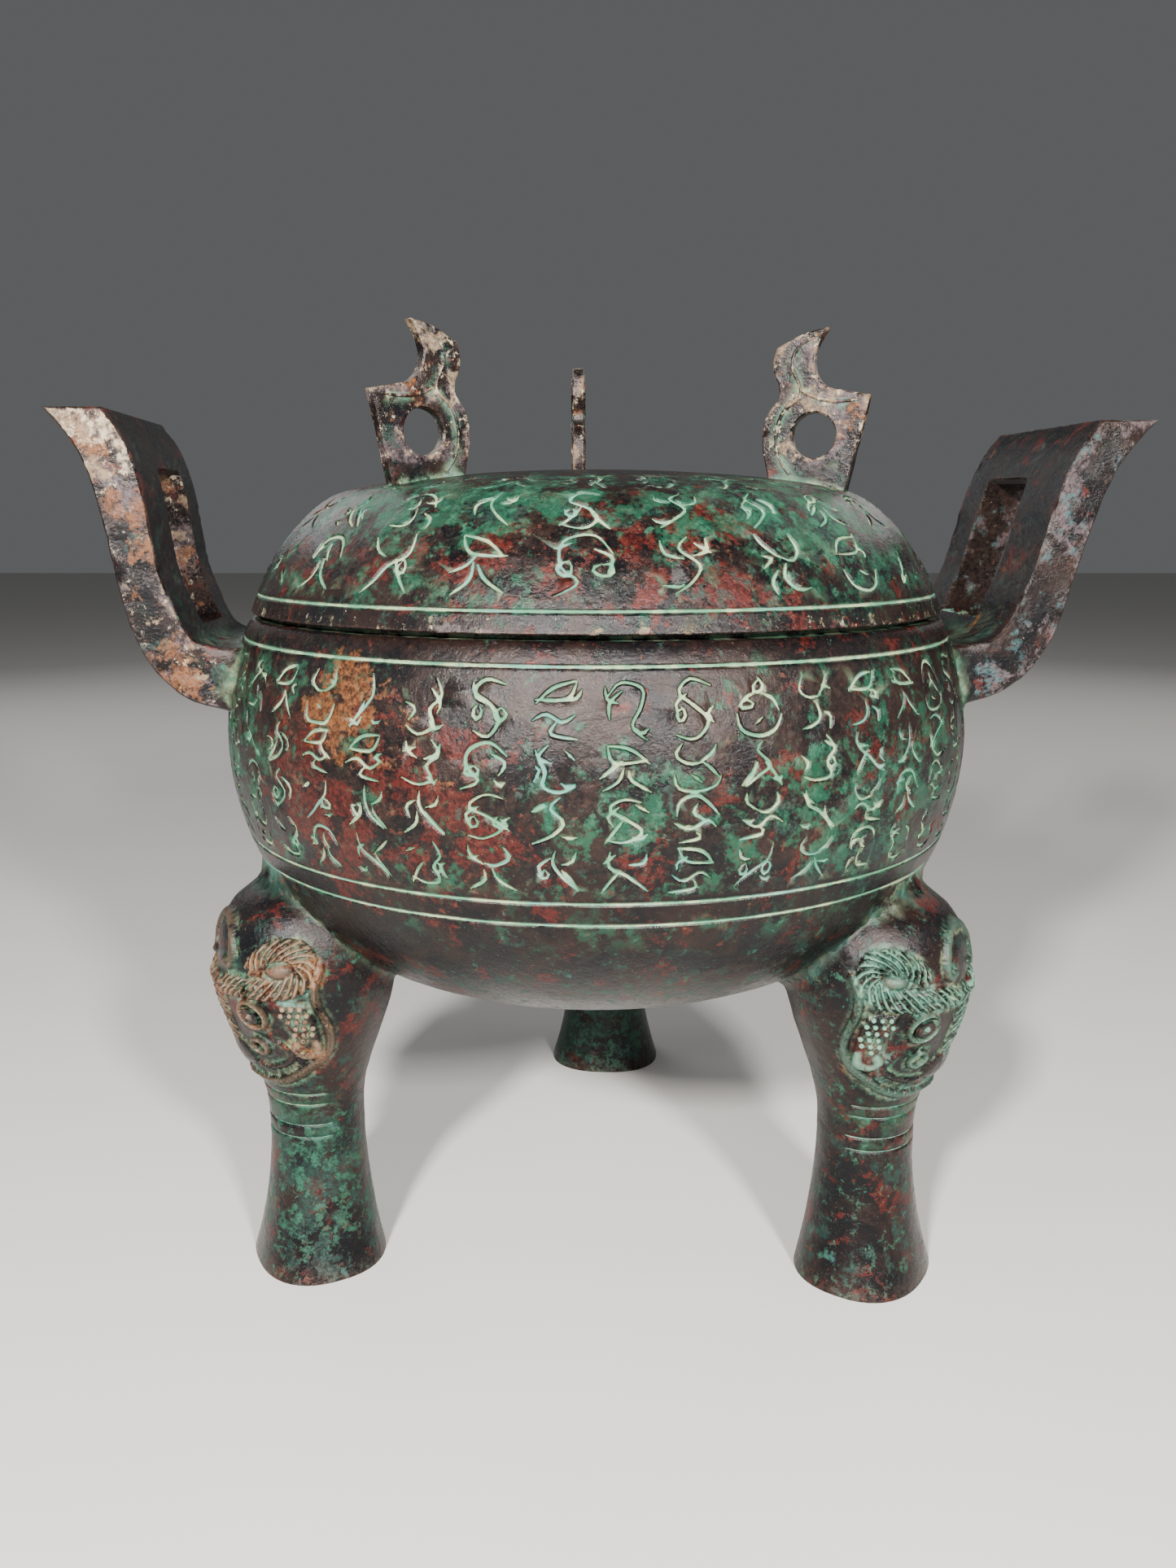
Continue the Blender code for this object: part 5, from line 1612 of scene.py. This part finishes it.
def colour_lid(item):
    """Mark where each layer of the lid's patina gathers, and roughen the casting."""
    place, _ = read_points(item)
    strokes = np.clip(stored(item, "stroke"), 0.0, 1.0)
    out = np.hypot(place[:, 0] - AXIS.x, place[:, 1] - AXIS.y)
    height = place[:, 2]
    knob_foot = height_on(lid_curve(12), KNOB_RADIUS) + 0.001
    knobs = np.clip((height - knob_foot) / 0.006, 0.0, 1.0) * (out > 0.05)
    rim = np.exp(-((height - LID_EDGE_HEIGHT - 0.002) / 0.0036) ** 2) * (out > 0.117)
    still = np.clip(strokes * 3 + (height > 0.3155), 0.0, 1.0)
    roughen(item, still, 0.00030, 0.00008 + 0.00022 * knobs)
    keep_bend(item, strokes)
    ribs = knobs * stored(item, "worn")
    store_layers(item, {
        "green": ((0.62 + patches(place, LID_GREENS)) * (1 - 0.4 * knobs), 1.3),
        "red": ((0.55 + patches(place, LID_REDS)) * (1 - 0.4 * knobs), 1.3),
        "ochre": (0.35 * rim + 0.60 * knobs, 1.0),
        "azure": (0.30 * knobs, 1.0),
        "ash": (0.55 * knobs + 0.3 * rim, 1.0),
        "crust": (0.62 * knobs + 0.60 * ribs + 0.66 * rim + 0.03, 1.3),
        "stroke": (strokes, 1.0),
    })


class DING_OT_lid(bpy.types.Operator):
    """Build the domed lid with its strokes, hollow and ringed knobs."""

    bl_idname = "ding.lid"
    bl_label = "Build lid"

    def execute(self, context):
        material = patina("lid_patina", context.scene.ding_patina)
        lid = make_dome(context.scene.ding_strokes)
        dome = lid_curve(20)
        combine(lid, [make_knob(index, dome) for index in range(3)], "UNION")
        combine(lid, [turned("lid_hollow", lid_hollow_profile(), 120)], "DIFFERENCE")
        lid.data.transform(Matrix.Translation((AXIS.x, AXIS.y, 0.0)))
        colour_lid(lid)
        finish_piece(lid, "ding_lid", "lid", material)
        return {"FINISHED"}


def area_light(name, power, size, place, colour):
    """A soft square light that looks at the middle of the vessel."""
    light = bpy.data.lights.new(name, "AREA")
    light.shape = "SQUARE"
    light.size = size
    light.energy = power
    light.color = colour
    item = add_object(name, light)
    item.location = place
    way = Vector((AXIS.x, AXIS.y, AIM_HEIGHT)) - Vector(place)
    item.rotation_euler = way.to_track_quat("-Z", "Y").to_euler()


class DING_OT_stage(bpy.types.Operator):
    """Build the floor, the lights and the camera."""

    bl_idname = "ding.stage"
    bl_label = "Build stage"

    def execute(self, context):
        settings = context.scene.ding_stage
        size = settings.floor_size
        corners = [(-size, -size, 0), (size, -size, 0), (size, size, 0), (-size, size, 0)]
        floor = mesh_object("floor", corners, [(0, 1, 2, 3)])
        material = bpy.data.materials.new("pale_floor")
        material.use_nodes = True
        tree = material.node_tree
        shader = tree.nodes["Principled BSDF"]
        place = node(tree, "ShaderNodeTexCoord").outputs["Object"]
        mottle = noise_value(tree, place, 9.0, 4.0, 0.5)
        darker = tuple(channel * 0.95 for channel in settings.floor_colour)
        shade = mixed(tree, mottle, tuple(settings.floor_colour), darker)
        tree.links.new(shade, shader.inputs["Base Color"])
        shader.inputs["Roughness"].default_value = 0.85
        floor.data.materials.append(material)
        world = bpy.data.worlds.new("studio")
        world.use_nodes = True
        world.node_tree.nodes["Background"].inputs["Color"].default_value = SKY_COLOUR
        world.node_tree.nodes["Background"].inputs["Strength"].default_value = settings.sky
        context.scene.world = world
        for name, power, part, light_size, spot, colour in STUDIO_LIGHTS:
            area_light(name, getattr(settings, power) * part, light_size, spot, colour)
        camera = bpy.data.cameras.new("camera")
        camera.sensor_width = 36.0
        camera.lens = settings.lens
        camera.clip_start = 0.01
        item = add_object("camera", camera)
        item.location = CAMERA_PLACE
        item.rotation_euler = CAMERA_TURN
        context.scene.camera = item
        return {"FINISHED"}


class DING_PT_panel(bpy.types.Panel):
    """Lists the ding's sizes, colours and build steps."""

    bl_label = "Ding"
    bl_space_type = "VIEW_3D"
    bl_region_type = "UI"
    bl_category = "Ding"

    def draw(self, context):
        for group in ("ding_strokes", "ding_relief", "ding_patina", "ding_stage"):
            settings = getattr(context.scene, group)
            box = self.layout.box()
            for name in settings.__annotations__:
                box.prop(settings, name)
        for operator in (DING_OT_stage, DING_OT_vessel, DING_OT_lid):
            self.layout.operator(operator.bl_idname)


CLASSES = (DingStrokeSizes, DingReliefSizes, DingPatinaColours, DingStageSettings,
           DING_OT_vessel, DING_OT_lid, DING_OT_stage, DING_PT_panel)


def register():
    """Register the classes and hang the settings on the scene."""
    for item in CLASSES:
        bpy.utils.register_class(item)
    bpy.types.Scene.ding_strokes = PointerProperty(type=DingStrokeSizes)
    bpy.types.Scene.ding_relief = PointerProperty(type=DingReliefSizes)
    bpy.types.Scene.ding_patina = PointerProperty(type=DingPatinaColours)
    bpy.types.Scene.ding_stage = PointerProperty(type=DingStageSettings)


def unregister():
    """Undo what register did."""
    for name in ("ding_strokes", "ding_relief", "ding_patina", "ding_stage"):
        delattr(bpy.types.Scene, name)
    for item in reversed(CLASSES):
        bpy.utils.unregister_class(item)


def main():
    """Build the stage, the vessel and the lid."""
    register()
    bpy.ops.ding.stage()
    bpy.ops.ding.vessel()
    bpy.ops.ding.lid()


if __name__ == "__main__":
    main()
